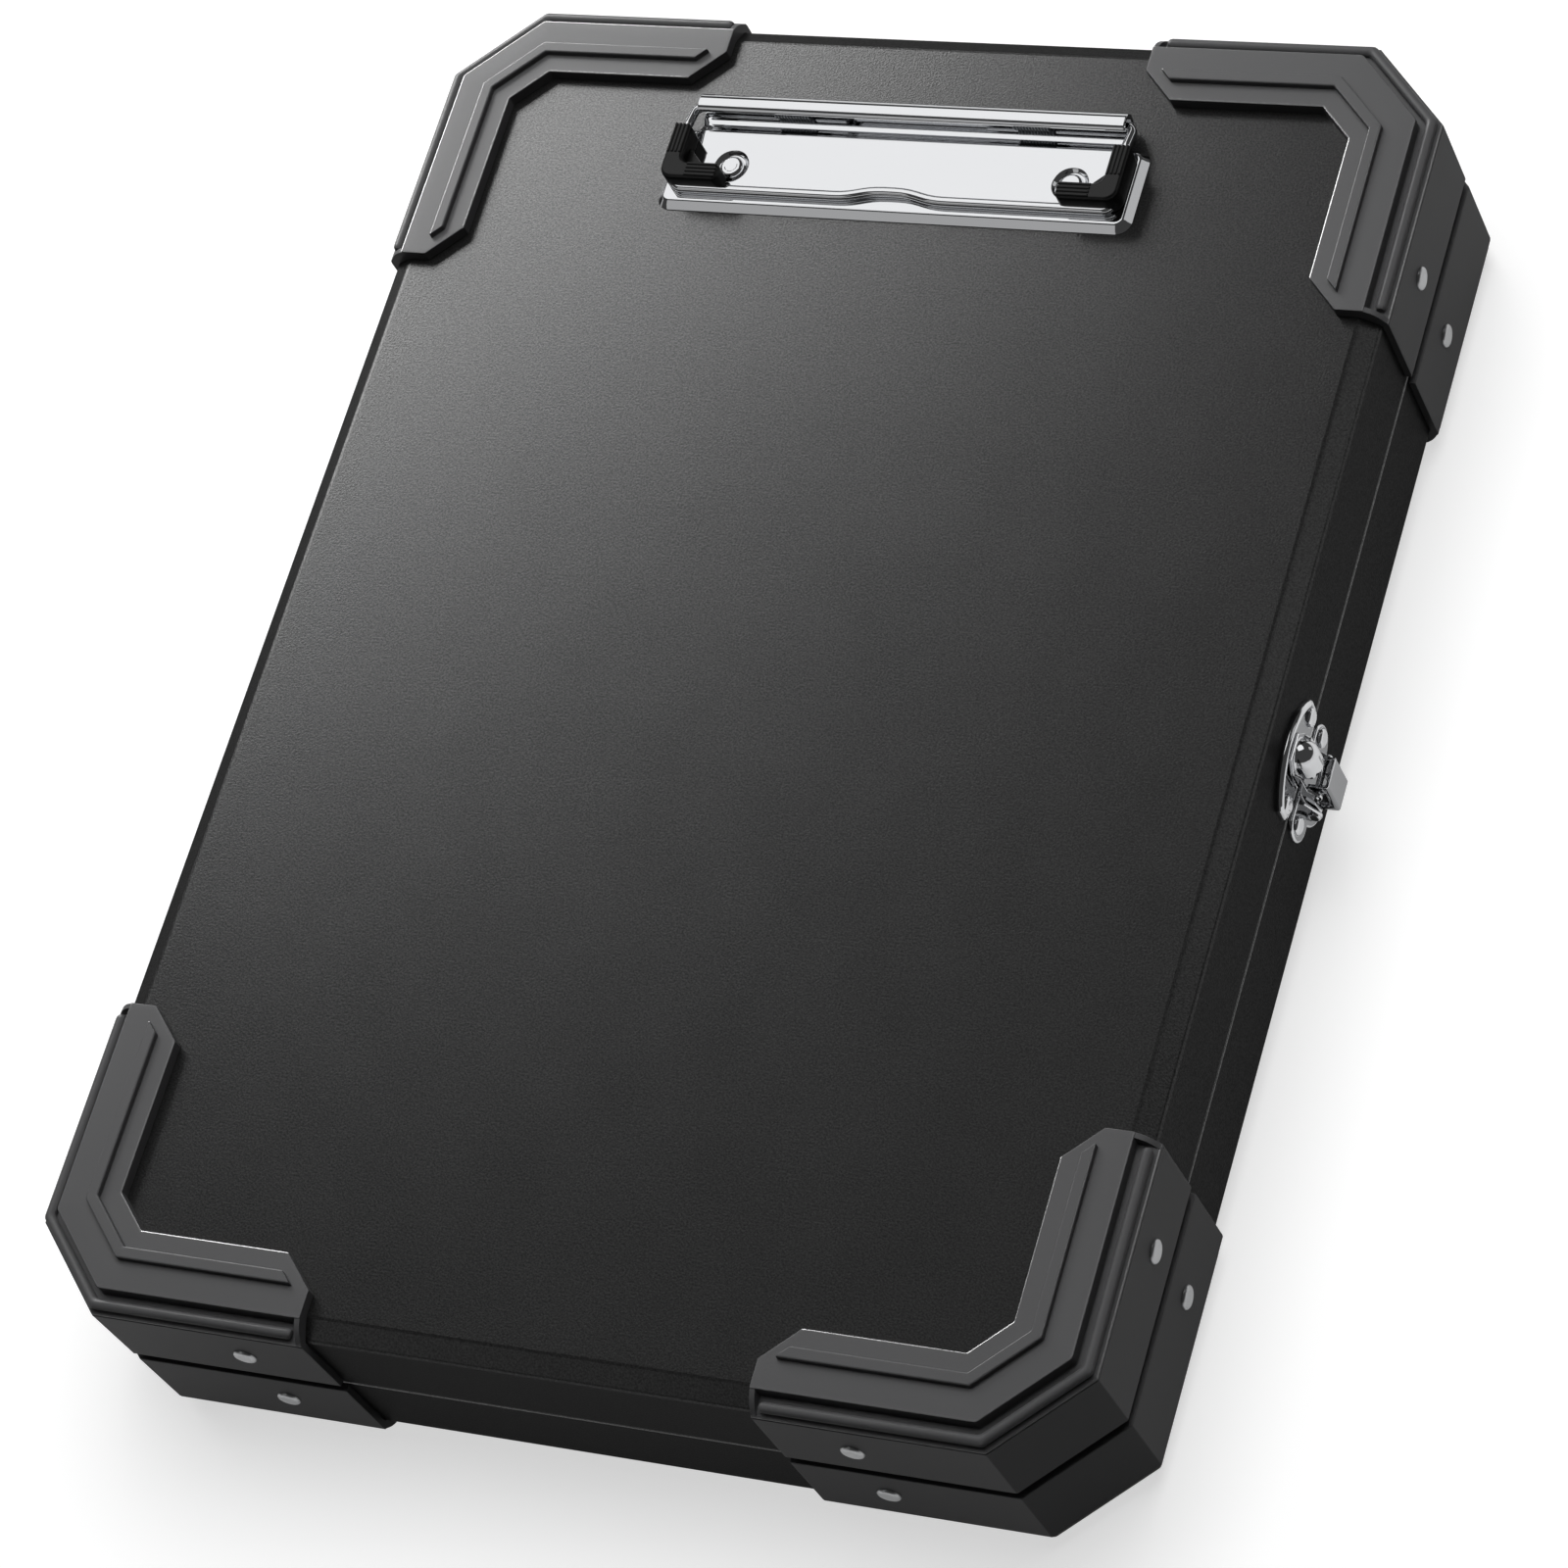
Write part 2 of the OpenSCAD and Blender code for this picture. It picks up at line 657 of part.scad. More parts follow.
// ---------------------------------------------------------------- latch

// move from the latch's own axes to the case: out of the right wall at the parting line
module on_wall() { place() translate([sx, 0, z_mid]) children(); }

module keeper_plan() {
  intersection() {
    translate([0, -5]) circle(18.9);
    union() {
      translate([-latch_half, 4.2]) square([2 * latch_half, 12]);
      translate([-latch_half + 3.4, 0.8]) square([2 * latch_half - 6.8, 12]);
      for (s = [-1, 1]) translate([s * (latch_half - 3.4), 4.2]) circle(3.4);
    }
  }
}

module latch_keeper() color("#d2d4d7") on_wall() difference() {
  union() {
    along_x(0, plate_t) keeper_plan();
    // raised rim along the arched edge
    along_x(0, 1.7) intersection() {
      difference() {
        translate([0, -5]) circle(18.9);
        translate([0, -5]) circle(17.8);
      }
      translate([-latch_half, 4.2]) square([2 * latch_half, 12]);
    }
    // stud that the hasp's dome closes over
    translate([0, 0, 8]) rod_x(dome_r - 1.4, plate_t - 0.1, hasp_x + 1.6);
  }
  for (s = [-1, 1]) translate([0, s * latch_rivet_y, keeper_rivet_z]) rod_x(hole_r, -1, 3);
}

module latch_base() color("#c8cacd") on_wall() difference() {
  union() {
    along_x(0, plate_t) difference() {
      union() {
        translate([0, hasp_z + 0.4]) circle(8.5);
        for (s = [-1, 1]) translate([s * (latch_half - 4.6), -5.4]) circle(4.9);
        translate([-latch_half + 1, -5.4]) square([2 * latch_half - 2, 4.6]);
      }
      translate([-latch_half - 1, -0.8]) square([2 * latch_half + 2, 9]);
    }
    // two ears that carry the hasp
    for (s = [-1, 1]) translate([0, s > 0 ? ear_y : -ear_y - ear_t, 0]) along_y(0, ear_t) union() {
      translate([hasp_x, hasp_z]) circle(1.7);
      polygon([[0.5, -3.5], [1.6, -3.5], [hasp_x + 1.7, hasp_z], [hasp_x, hasp_z - 1.7], [0.5, -11.6]]);
    }
  }
  translate([hasp_x, 0, hasp_z]) rod_y(hasp_pin_r + 0.02, -ear_y - ear_t - 1, ear_y + ear_t + 1);
  for (s = [-1, 1]) translate([0, s * latch_rivet_y, base_rivet_z]) rod_x(hole_r, -1, 3);
}

// round-topped hollow head of the hasp, radius r
module dome(r, low) {
  translate([3, 0, low]) cylinder(r = r, h = 8 - low);
  translate([3, 0, 8]) sphere(r);
}

module latch_hasp() color("#dcdee0") on_wall() {
  x0 = plate_t + latch_gap;
  wing_x = 3.3;
  difference() {
    union() {
      intersection() {
        union() {
          dome(dome_r, 2.8);
          translate([0, -dome_r, 2.8]) cube([3, 2 * dome_r, 6.4]);
        }
        translate([x0, -8, 0]) cube([12, 16, 14]);
      }
      // flange round the dome and the two wings that reach down to the pivots
      along_x(x0, wing_t) polygon([
        [-wing_y - wing_t, 2.8], [wing_y + wing_t, 2.8], [wing_y + wing_t, 8.5],
        [3.2, 11.8], [-3.2, 11.8], [-wing_y - wing_t, 8.5]
      ]);
      for (s = [-1, 1]) translate([0, s > 0 ? wing_y : -wing_y - wing_t, 0]) along_y(0, wing_t) union() {
        polygon([[x0, 8.5], [x0, hasp_z], [hasp_x + 1.2, hasp_z], [wing_x, lever_z], [wing_x, 7]]);
        translate([hasp_x, hasp_z]) circle(hasp_x - x0 + 0.05);
        translate([lever_x, lever_z]) circle(1.5);
        polygon([[x0, lever_z - 3], [lever_x, lever_z - 1.5], [lever_x, lever_z + 1.5], [x0, lever_z + 3]]);
      }
    }
    intersection() {
      union() {
        dome(dome_r - 0.8, 0);
        translate([0, -dome_r + 0.8, 0]) cube([3, 2 * dome_r - 1.6, 8 + dome_r - 0.9]);
      }
      translate([0, -8, 0]) cube([12, 16, 14]);
    }
    translate([hasp_x, 0, hasp_z]) rod_y(hasp_pin_r + run_gap, -9, 9);
    translate([lever_x, 0, lever_z]) rod_y(lever_pin_r + 0.02, -9, 9);
  }
}

// two shouldered rivets that hinge the hasp on the ears
module latch_hasp_pivots() color("#b4b6b9") on_wall() {
  seat = ear_y + ear_t;
  end = seat + 0.6;
  for (s = [-1, 1]) translate([hasp_x, 0, hasp_z]) {
    rod_y(hasp_pin_r, s > 0 ? wing_y - 0.1 : -end, s > 0 ? end : -wing_y + 0.1);
    rod_y(1.5, s > 0 ? seat : -end, s > 0 ? end : -seat);
  }
}

module latch_lever() color("#e2e4e6") on_wall() difference() {
  low = lever_top - lever_h;
  w = lever_w / 2;
  union() {
    // front web
    translate([lever_out - 0.8, -w, low]) cube([0.8, lever_w, lever_h]);
    // side walls and lower lip
    for (s = [-1, 1]) translate([0, s > 0 ? w - 0.8 : -w, 0]) along_y(0, 0.8)
      polygon([[2.8, lever_top], [lever_out, lever_top], [lever_out, low], [3.6, low], [2.8, low + 1.6]]);
    translate([lever_out - 2.4, -w, low]) cube([2.4, lever_w, 0.8]);
  }
  translate([lever_x, 0, lever_z]) rod_y(lever_pin_r + run_gap, -9, 9);
  // slot in both side walls
  for (x = [4.1, 5.5]) translate([x, 0, -6]) rod_y(0.7, -9, 9);
  translate([4.1, -9, -6.7]) cube([1.4, 18, 1.4]);
}

module latch_lever_pin() color("#b4b6b9") on_wall() translate([lever_x, 0, lever_z]) {
  e = wing_y + wing_t;
  rod_y(lever_pin_r, -e - 0.25, e + 0.25);
}

module latch_keeper_rivets() color("#d7d9db") on_wall() for (s = [-1, 1])
  translate([plate_t, s * latch_rivet_y, keeper_rivet_z]) rotate([0, 90, 0])
    rivet(latch_head_d, latch_head_h, latch_grip);

module latch_base_rivets() color("#d7d9db") on_wall() for (s = [-1, 1])
  translate([plate_t, s * latch_rivet_y, base_rivet_z]) rotate([0, 90, 0])
    rivet(latch_head_d, latch_head_h, latch_grip);

// ---------------------------------------------------------------- pieces

base_tray();
lid_shell();
lid_guard(-1, -1);  // lid_guard_front_left
lid_guard(1, -1);  // lid_guard_front_right
lid_guard(-1, 1);  // lid_guard_rear_left
lid_guard(1, 1);  // lid_guard_rear_right
base_guard(-1, -1);  // base_guard_front_left
base_guard(1, -1);  // base_guard_front_right
base_guard(-1, 1);  // base_guard_rear_left
base_guard(1, 1);  // base_guard_rear_right
lid_guard_rivets();
base_guard_rivets();
hinge_lid_leaf();
hinge_base_leaf();
hinge_pin();
hinge_lid_rivets();
hinge_base_rivets();
clip_plate();
clip_rivets();
clip_wire();
clip_grip_left();
clip_grip_right();
clip_springs();
latch_keeper();
latch_base();
latch_hasp();
latch_lever();
latch_hasp_pivots();
latch_lever_pin();
latch_keeper_rivets();
latch_base_rivets();
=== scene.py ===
"""Storage clipboard box: the detailed surfaces over the fixed CAD frame.

Every piece is built in metres in the CAD frame: X to the latch, Y to the paper clip,
Z up out of the lid.  Sizes in the code are millimetres unless they say otherwise.
"""
import math

import bmesh
import bpy
from bpy.props import FloatProperty, FloatVectorProperty, PointerProperty
from mathutils import Euler, Matrix, Vector


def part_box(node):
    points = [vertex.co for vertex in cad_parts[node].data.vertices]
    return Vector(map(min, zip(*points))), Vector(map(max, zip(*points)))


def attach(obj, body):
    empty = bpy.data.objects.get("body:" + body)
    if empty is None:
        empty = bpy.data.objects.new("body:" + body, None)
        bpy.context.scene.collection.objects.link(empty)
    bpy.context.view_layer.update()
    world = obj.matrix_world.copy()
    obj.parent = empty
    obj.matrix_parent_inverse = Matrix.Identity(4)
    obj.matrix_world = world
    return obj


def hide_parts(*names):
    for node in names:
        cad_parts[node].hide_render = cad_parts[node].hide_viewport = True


bl_info = {
    "name": "Storage clipboard box",
    "version": (1, 0, 0),
    "blender": (4, 5, 0),
    "location": "View3D > Sidebar > Clipboard box",
    "description": "Builds the detailed pieces of a storage clipboard box",
    "category": "Add Mesh",
}

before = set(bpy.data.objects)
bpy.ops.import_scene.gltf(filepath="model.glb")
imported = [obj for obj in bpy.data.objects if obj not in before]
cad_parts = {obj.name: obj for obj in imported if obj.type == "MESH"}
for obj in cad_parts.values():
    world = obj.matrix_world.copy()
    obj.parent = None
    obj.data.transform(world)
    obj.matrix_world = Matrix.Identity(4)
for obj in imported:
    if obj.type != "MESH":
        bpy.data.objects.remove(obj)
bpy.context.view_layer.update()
MM = 0.001

# fixed places that the CAD nodes give, in millimetres
SHELL_LOW, SHELL_HIGH = (v * 1000 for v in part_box("lid_shell"))
GUARD_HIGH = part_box("lid_guard_rear_right")[1] * 1000
MID_X = (SHELL_LOW.x + SHELL_HIGH.x) / 2
HALF_X = GUARD_HIGH.x - MID_X
HALF_Y = GUARD_HIGH.y
MID_Z = (SHELL_LOW.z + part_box("base_tray")[1].z * 1000) / 2
DEPTH = SHELL_HIGH.z - MID_Z
WALL_IN = HALF_X - (SHELL_HIGH.x - MID_X)
# how much shorter a corner cut gets for each millimetre that its line moves inwards
CUT_K = 2 - math.sqrt(2)
PANEL = MID_Z + DEPTH

# paper clip, from the case's middle and the panel
RIVET_X, RIVET_Y = 43.4, 130.9          # the two dished seats
AXLE_Y, AXLE_Z = 145.7, 4.1             # the roll, and the bail's axle in it
BAIL_X, BAIL_FRONT = 56.05, 123.45      # the bail's sides and front
RIDGE_STEP = 1.0

# latch, out from the case wall and up from the parting line
PLATE_RIVET = 10.9                      # rivets of keeper and base, each way from the middle
KEEPER_RIVET_Z, BASE_RIVET_Z = 5, -4.5
DOME_Z = 8                              # the dome's middle, and the stud in it
HASP_PIN = (2.6, -8.6)
LEVER_PIN = (4.4, -1.8)

# camera: metres, degrees and millimetres
CAMERA_PLACE = (0.54057, -0.52026, 1.07378)
CAMERA_TURN = (30.00004, 19.3639, 16.9188)
CAMERA_LENS = 129.46

# piano hinge
PITCH, KNUCKLES = 10.0, 19
HINGE_HALF = PITCH * KNUCKLES / 2
LEAF_TOP = 15.65


# ------------------------------------------------------------------ settings


def linear(code):
    """sRGB hex code to linear RGBA."""
    parts = [int(code[k:k + 2], 16) / 255 for k in (0, 2, 4)]
    return [c / 12.92 if c <= 0.04045 else ((c + 0.055) / 1.055) ** 2.4 for c in parts] + [1.0]


class CaseSettings(bpy.types.PropertyGroup):
    corner_cut: FloatProperty(
        name="Corner cut", description="Width of the corner cut at the guards' outer wall",
        default=0.0196, min=0.01, max=0.03, unit="LENGTH")
    band_drop: FloatProperty(
        name="Band drop", description="Drop of the sloping band round the panel",
        default=0.003, min=0.001, max=0.005, unit="LENGTH")
    band_in: FloatProperty(
        name="Band inset", description="Inset of the panel's edge from the guards' outer wall",
        default=0.0058, min=0.004, max=0.009, unit="LENGTH")
    step: FloatProperty(
        name="Panel step", description="Height of the pressed step round the panel",
        default=0.0004, min=0.0001, max=0.001, unit="LENGTH")
    sheet: FloatProperty(
        name="Sheet", description="Thickness of the aluminium sheet",
        default=0.0012, min=0.0005, max=0.002, unit="LENGTH")
    coat: FloatVectorProperty(
        name="Coat", description="Colour of the powder coat",
        default=linear("3f3f3f"), size=4, min=0, max=1, subtype="COLOR")


class GuardSettings(bpy.types.PropertyGroup):
    leg: FloatProperty(
        name="Leg length", description="Length of each leg from the corner",
        default=0.073, min=0.05, max=0.09, unit="LENGTH")
    slant: FloatProperty(
        name="Slant", description="Sum of both insets along the slanted leg end",
        default=0.0845, min=0.07, max=0.1, unit="LENGTH")
    plate: FloatProperty(
        name="Plate", description="Thickness of the face plate",
        default=0.003, min=0.001, max=0.005, unit="LENGTH")
    rib_height: FloatProperty(
        name="Rib height", description="Height of the raised rib",
        default=0.0016, min=0.0005, max=0.003, unit="LENGTH")
    colour: FloatVectorProperty(
        name="Guard", description="Colour of the moulding",
        default=linear("525253"), size=4, min=0, max=1, subtype="COLOR")


class MetalSettings(bpy.types.PropertyGroup):
    rivet_width: FloatProperty(
        name="Rivet head", description="Diameter of the guard rivets' heads",
        default=0.0055, min=0.003, max=0.008, unit="LENGTH")
    nickel: FloatVectorProperty(
        name="Nickel", description="Colour of the bright nickel plate",
        default=linear("e2e3e5"), size=4, min=0, max=1, subtype="COLOR")
    zinc: FloatVectorProperty(
        name="Zinc", description="Colour of the zinc plate",
        default=linear("9b9ea2"), size=4, min=0, max=1, subtype="COLOR")


# ------------------------------------------------------------------ mesh helpers


def rounded(points, radii, step=18):
    """The 2D polyline through points, each inner corner replaced by an arc of its radius."""
    out = []
    for k, (p, r) in enumerate(zip(points, radii)):
        p = Vector(p)
        if r <= 0 or k in (0, len(points) - 1):
            out.append(tuple(p))
            continue
        a = (Vector(points[k - 1]) - p).normalized()
        b = (Vector(points[k + 1]) - p).normalized()
        half = a.angle(b) / 2
        centre = p + (a + b).normalized() * (r / math.sin(half))
        start = p + a * (r / math.tan(half)) - centre
        end = p + b * (r / math.tan(half)) - centre
        sweep = start.angle(end)
        side = 1 if start.x * end.y - start.y * end.x > 0 else -1
        count = max(2, math.ceil(math.degrees(sweep) / step))
        for j in range(count + 1):
            t = side * sweep * j / count
            c, s = math.cos(t), math.sin(t)
            out.append((centre.x + start.x * c - start.y * s, centre.y + start.x * s + start.y * c))
    return out


def plain(obj):
    """Turns an object with modifiers into the plain mesh that they make."""
    result = bpy.data.meshes.new_from_object(obj.evaluated_get(bpy.context.evaluated_depsgraph_get()))
    obj.modifiers.clear()
    obj.data = result
    return obj


def piece(name, build, key, smooth=30, unit=MM, second=None):
    """A mesh object from bmesh code that works in millimetres."""
    bm = bmesh.new()
    build(bm)
    bmesh.ops.recalc_face_normals(bm, faces=bm.faces)
    bmesh.ops.scale(bm, vec=(unit, unit, unit), verts=bm.verts)
    mesh = bpy.data.meshes.new(name)
    bm.to_mesh(mesh)
    bm.free()
    obj = bpy.data.objects.new(name, mesh)
    bpy.context.scene.collection.objects.link(obj)
    for k in (key, second) if second else (key,):
        mesh.materials.append(material(k))
    mesh.shade_smooth()
    mesh.set_sharp_from_angle(angle=math.radians(smooth))
    # flat faces keep their own normal, so that only the small edge rounds are shaded round
    even = obj.modifiers.new("even_normals", "WEIGHTED_NORMAL")
    even.keep_sharp = True
    return plain(obj)


def lit_alone(group):
    """The collection of one group of pieces, for the lamps that reach only that group."""
    name = "lit_" + group
    return bpy.data.collections.get(name) or bpy.data.collections.new(name)


def claim(obj, body, slot, node):
    """Puts a piece on its body in place of a CAD node."""
    for group in (slot,) if slot == "case" else (slot, "others"):
        lit_alone(group).objects.link(obj)
    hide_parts(node)
    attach(obj, body)


def skin(bm, rings, caps=True, shiny=(), bright=()):
    """Quads between closed rings of the same count, with an n-gon at each end.

    shiny and bright give faces the piece's second material: shiny by the point's place round a
    ring, for strips that cross all rings, and bright by the gap between two rings."""
    loops = [[bm.verts.new(co) for co in ring] for ring in rings]
    for n, (a, b) in enumerate(zip(loops, loops[1:])):
        for k in range(len(a)):
            j = (k + 1) % len(a)
            bm.faces.new((a[k], a[j], b[j], b[k])).material_index = int(k in shiny or n in bright)
    if caps:
        bm.faces.new(loops[0])
        bm.faces.new(loops[-1])
    return loops


def drawn_in(points, by):
    """A closed outline moved inwards by a distance."""
    area = sum(a[0] * b[1] - b[0] * a[1] for a, b in zip(points, points[1:] + points[:1]))
    turn = 1 if area > 0 else -1
    out = []
    for k, p in enumerate(points):
        d = Vector(points[(k + 1) % len(points)]) - Vector(points[k - 1])
        n = Vector((-d.y, d.x)).normalized() * turn * by
        out.append((p[0] + n.x, p[1] + n.y))
    return out


def arc(centre, radius, start, end, step=12):
    """Points of an arc, angles in degrees."""
    count = max(2, math.ceil(abs(end - start) / step))
    turns = [math.radians(start + (end - start) * k / count) for k in range(count + 1)]
    return [(centre[0] + radius * math.cos(t), centre[1] + radius * math.sin(t)) for t in turns]


EDGES = range(5)            # every band round a slab
ROUNDED = (0, 1, 3, 4)      # its edge rounds, without the wall between them


def slab(bm, outline, low, high, place, edge=0.15, bright=()):
    """An outline made a plate between two levels, its edges rounded; place(a, b, level) gives each
    point in the CAD frame."""
    levels = [(low, edge), (low + edge * 0.3, edge * 0.3), (low + edge, 0),
              (high - edge, 0), (high - edge * 0.3, edge * 0.3), (high, edge)]
    skin(bm, [[place(a, b, level) for a, b in (drawn_in(outline, cut) if cut else outline)]
              for level, cut in levels], bright=bright)


def spun(bm, outline, place, sides=24):
    """A solid of revolution from (radius, distance along the axis); place(a, b, level) as for slab."""
    skin(bm, [[place(a, b, level) for a, b in arc((0, 0), r, 0, 360 - 360 / sides, 360 / sides)]
              for r, level in outline])


# ------------------------------------------------------------------ materials


def add(tree, kind, inputs=None, **settings):
    """Adds a node, sets its own settings and its inputs: a value, or a socket to link from."""
    n = tree.nodes.new(kind)
    for key, value in settings.items():
        setattr(n, key, value)
    for key, value in (inputs or {}).items():
        if isinstance(value, bpy.types.NodeSocket):
            tree.links.new(value, n.inputs[key])
        else:
            n.inputs[key].default_value = value
    return n


def blank(name):
    """An empty node material and its output node."""
    m = bpy.data.materials.new(name)
    m.use_nodes = True
    m.node_tree.nodes.clear()
    return m, m.node_tree, add(m.node_tree, "ShaderNodeOutputMaterial")


def powder_coat(name, colour, edge):
    """Aluminium sheet, powder coated black, with a fine even sand texture.

    It is drawn as a dark satin metal: a broad soft glow on the lamp's side and near-black sides."""
    m, t, out = blank(name)
    where = add(t, "ShaderNodeTexCoord").outputs["Object"]
    # the real grain is about 0.15 mm; drawn at 0.45 mm so that it shows
    grain = add(t, "ShaderNodeTexNoise", {"Vector": where, "Scale": 2200, "Detail": 1.0, "Roughness": 0.5})
    # uneven thickness of the coat, over about 17 mm
    broad = add(t, "ShaderNodeTexNoise", {"Vector": where, "Scale": 60, "Detail": 3.0})
    tone = add(t, "ShaderNodeMapRange", {"Value": grain.outputs["Fac"], "From Min": 0.3, "From Max": 0.7,
                                         "To Min": 0.76, "To Max": 1.26})
    shade = add(t, "ShaderNodeMix", {"Factor": 1.0, 6: colour, 7: tone.outputs["Result"]},
                data_type="RGBA", blend_type="MULTIPLY")
    rough = add(t, "ShaderNodeMapRange", {"Value": broad.outputs["Fac"], "To Min": 0.28, "To Max": 0.32})
    bump = add(t, "ShaderNodeBump", {"Height": grain.outputs["Fac"], "Strength": 0.4, "Distance": 0.0001})
    surface = add(t, "ShaderNodeBsdfPrincipled", {
        "Base Color": shade.outputs[2], "Metallic": 0.8, "Roughness": rough.outputs["Result"],
        "Normal": bump.outputs["Normal"], "Specular Tint": linear(edge), "Specular IOR Level": 0.0})
    t.links.new(surface.outputs["BSDF"], out.inputs["Surface"])
    return m


def moulded_abs(name, colour, roughness, gloss):
    """Injection-moulded black ABS from a fine-spark tool: a dull satin face, and edges that
    handling has burnished to thin bright lines."""
    m, t, out = blank(name)
    where = add(t, "ShaderNodeTexCoord").outputs["Object"]
    # spark-eroded grain is about 0.1 mm; drawn at 0.67 mm so that it shows
    grain = add(t, "ShaderNodeTexNoise", {"Vector": where, "Scale": 1500, "Detail": 2.0})
    bump = add(t, "ShaderNodeBump", {"Height": grain.outputs["Fac"], "Strength": 0.12, "Distance": 0.0001})
    surface = add(t, "ShaderNodeBsdfPrincipled", {
        "Base Color": colour, "Roughness": roughness, "Normal": bump.outputs["Normal"], "IOR": 1.5,
        "Specular IOR Level": gloss})
    t.links.new(surface.outputs["BSDF"], out.inputs["Surface"])
    return m


def plated_steel(name, colour, roughness):
    """Pressed or turned steel, plated or tumbled: a mirror when smooth, a soft grey shine when rough."""
    m, t, out = blank(name)
    where = add(t, "ShaderNodeTexCoord").outputs["Object"]
    # waviness of pressed sheet under plate, a few millimetres across
    marks = add(t, "ShaderNodeTexNoise", {"Vector": where, "Scale": 400, "Detail": 2.0})
    bump = add(t, "ShaderNodeBump", {"Height": marks.outputs["Fac"], "Strength": 0.005, "Distance": 0.0001})
    surface = add(t, "ShaderNodeBsdfPrincipled", {
        "Base Color": colour, "Metallic": 1.0, "Roughness": roughness, "Normal": bump.outputs["Normal"]})
    t.links.new(surface.outputs["BSDF"], out.inputs["Surface"])
    return m


def grip_rubber(name, colour):
    """Dipped black rubber: near black, with a small soft highlight."""
    m, t, out = blank(name)
    where = add(t, "ShaderNodeTexCoord").outputs["Object"]
    # the skin of dipped rubber is finer than 0.1 mm; drawn at 0.4 mm so that it shows
    grain = add(t, "ShaderNodeTexNoise", {"Vector": where, "Scale": 2500, "Detail": 2.0})
    bump = add(t, "ShaderNodeBump", {"Height": grain.outputs["Fac"], "Strength": 0.15, "Distance": 0.0001})
    surface = add(t, "ShaderNodeBsdfPrincipled", {
        "Base Color": colour, "Roughness": 0.3, "Normal": bump.outputs["Normal"], "IOR": 1.52,
        "Specular IOR Level": 0.3})
    t.links.new(surface.outputs["BSDF"], out.inputs["Surface"])
    return m


MATERIALS = {}


def material(name):
    """A finish by its short name; all are made the first time that one is asked for."""
    if not MATERIALS:
        s = bpy.context.scene
        MATERIALS.update({
            "coat": powder_coat("powder_coated_aluminium", s.case_settings.coat, "aaaaaa"),
            # the hem's fold: the coat painted paler, a painted highlight line
            "coat_edge": powder_coat("coat_painted_hem_highlight", linear("707070"), "aaaaaa"),
            "abs": moulded_abs("moulded_abs_black", s.guard_settings.colour, 0.4, 0.06),
            "abs_edge": moulded_abs("handled_abs_edge", s.guard_settings.colour, 0.26, 0.45),
            # clip plate, bail, bright rivets and pins, and the latch's edges: sharp reflections
            "nickel": plated_steel("bright_nickel_plate", s.metal_settings.nickel, 0.045),
            # painted shade: the latch's flat faces take the nickel darkened to mid-grey, beside their bright
            # edges
            "nickel_painted_shade": plated_steel("nickel_painted_shade_plate", linear("97989a"), 0.1),
            "zinc": plated_steel("zinc_plated_steel", s.metal_settings.zinc, 0.34),
            "rivet": plated_steel("tumbled_steel_rivet", linear("b6b7b8"), 0.34),
            "rubber": grip_rubber("dipped_rubber", linear("0b0b0b")),
        })
    return MATERIALS[name]


# ------------------------------------------------------------------ case shells


def octagon(inset, height, side=1):
    """Corners of the case's outline at an inset from the guards' outer wall."""
    c = bpy.context.scene.case_settings.corner_cut * 1000 - inset * CUT_K
    w, l = HALF_X - inset, HALF_Y - inset
    z = MID_Z + side * height
    flat = [(w, -l + c), (w, l - c), (w - c, l), (-w + c, l),
            (-w, l - c), (-w, -l + c), (-w + c, -l), (w - c, -l)]
    return [(MID_X + x, y, z) for x, y in flat]


def build_half_case(bm, side):
    """One pressed half: inner face, folded hem, rim, wall, sloping band and panel."""
    s = bpy.context.scene.case_settings
    t, w = s.sheet * 1000, WALL_IN
    edge, step = s.band_in * 1000, s.step * 1000
    low = DEPTH - s.band_drop * 1000
    inner = [(edge + 1.6, DEPTH - t), (edge + 0.2, DEPTH - t), (w + t, low - 0.5), (w + t, 6.5),
             (w + t + 0.9, 6.0), (w + t + 0.9, 0.15), (w, 0.15)]
    inner = rounded(inner, [0, 1.0, 1.0, 0.3, 0.4, 0.35, 0])
    outer = [(w + 1, 0.15), (w, 0.15), (w, low), (edge, DEPTH - step), (edge + 0.45, DEPTH - step * 0.4),
             (edge + 1.1, DEPTH), (edge + 3, DEPTH)]
    outer = rounded(outer, [0, 0.45, 1.6, 0.25, 0.3, 0.6, 0], step=12)
    skin(bm, [octagon(i, h, side) for i, h in inner[:-1] + outer[1:]])
    # the hem's fold along the parting line takes the paler coat as a painted highlight
    bm.faces.ensure_lookup_table()
    for face in bm.faces:
        if len(face.verts) == 4 and 0.2 < side * (face.calc_center_median().z - MID_Z) < 0.62:
            face.material_index = 1


class CLIPBOARD_OT_case(bpy.types.Operator):
    """Build the two pressed halves of the case"""
    bl_idname = "clipboard.case_shells"
    bl_label = "Case shells"

    def execute(self, context):
        for node, body, side in (("lid_shell", "lid", 1), ("base_tray", "base", -1)):
            shell = piece(node + "_pressed", lambda bm: build_half_case(bm, side), "coat", second="coat_edge")
            claim(shell, body, "case", node)
        return {"FINISHED"}


# ------------------------------------------------------------------ corner guards


def corner_line(inset, radius, reach, count=4):
    """Plan of a line round a corner at one inset, as pairs of insets from the X and the Y wall:
    a leg's end, two rounded corners, and the other leg's end."""
    cut = bpy.context.scene.case_settings.corner_cut * 1000 - inset * CUT_K
    back = radius * math.tan(math.radians(22.5))
    half = [(inset, reach)]
    for k in range(count + 1):
        a = math.radians(45 * k / count)
        half.append((inset + radius * (1 - math.cos(a)), inset + cut + back - radius * math.sin(a)))
    return half + [(q, p) for p, q in reversed(half)]


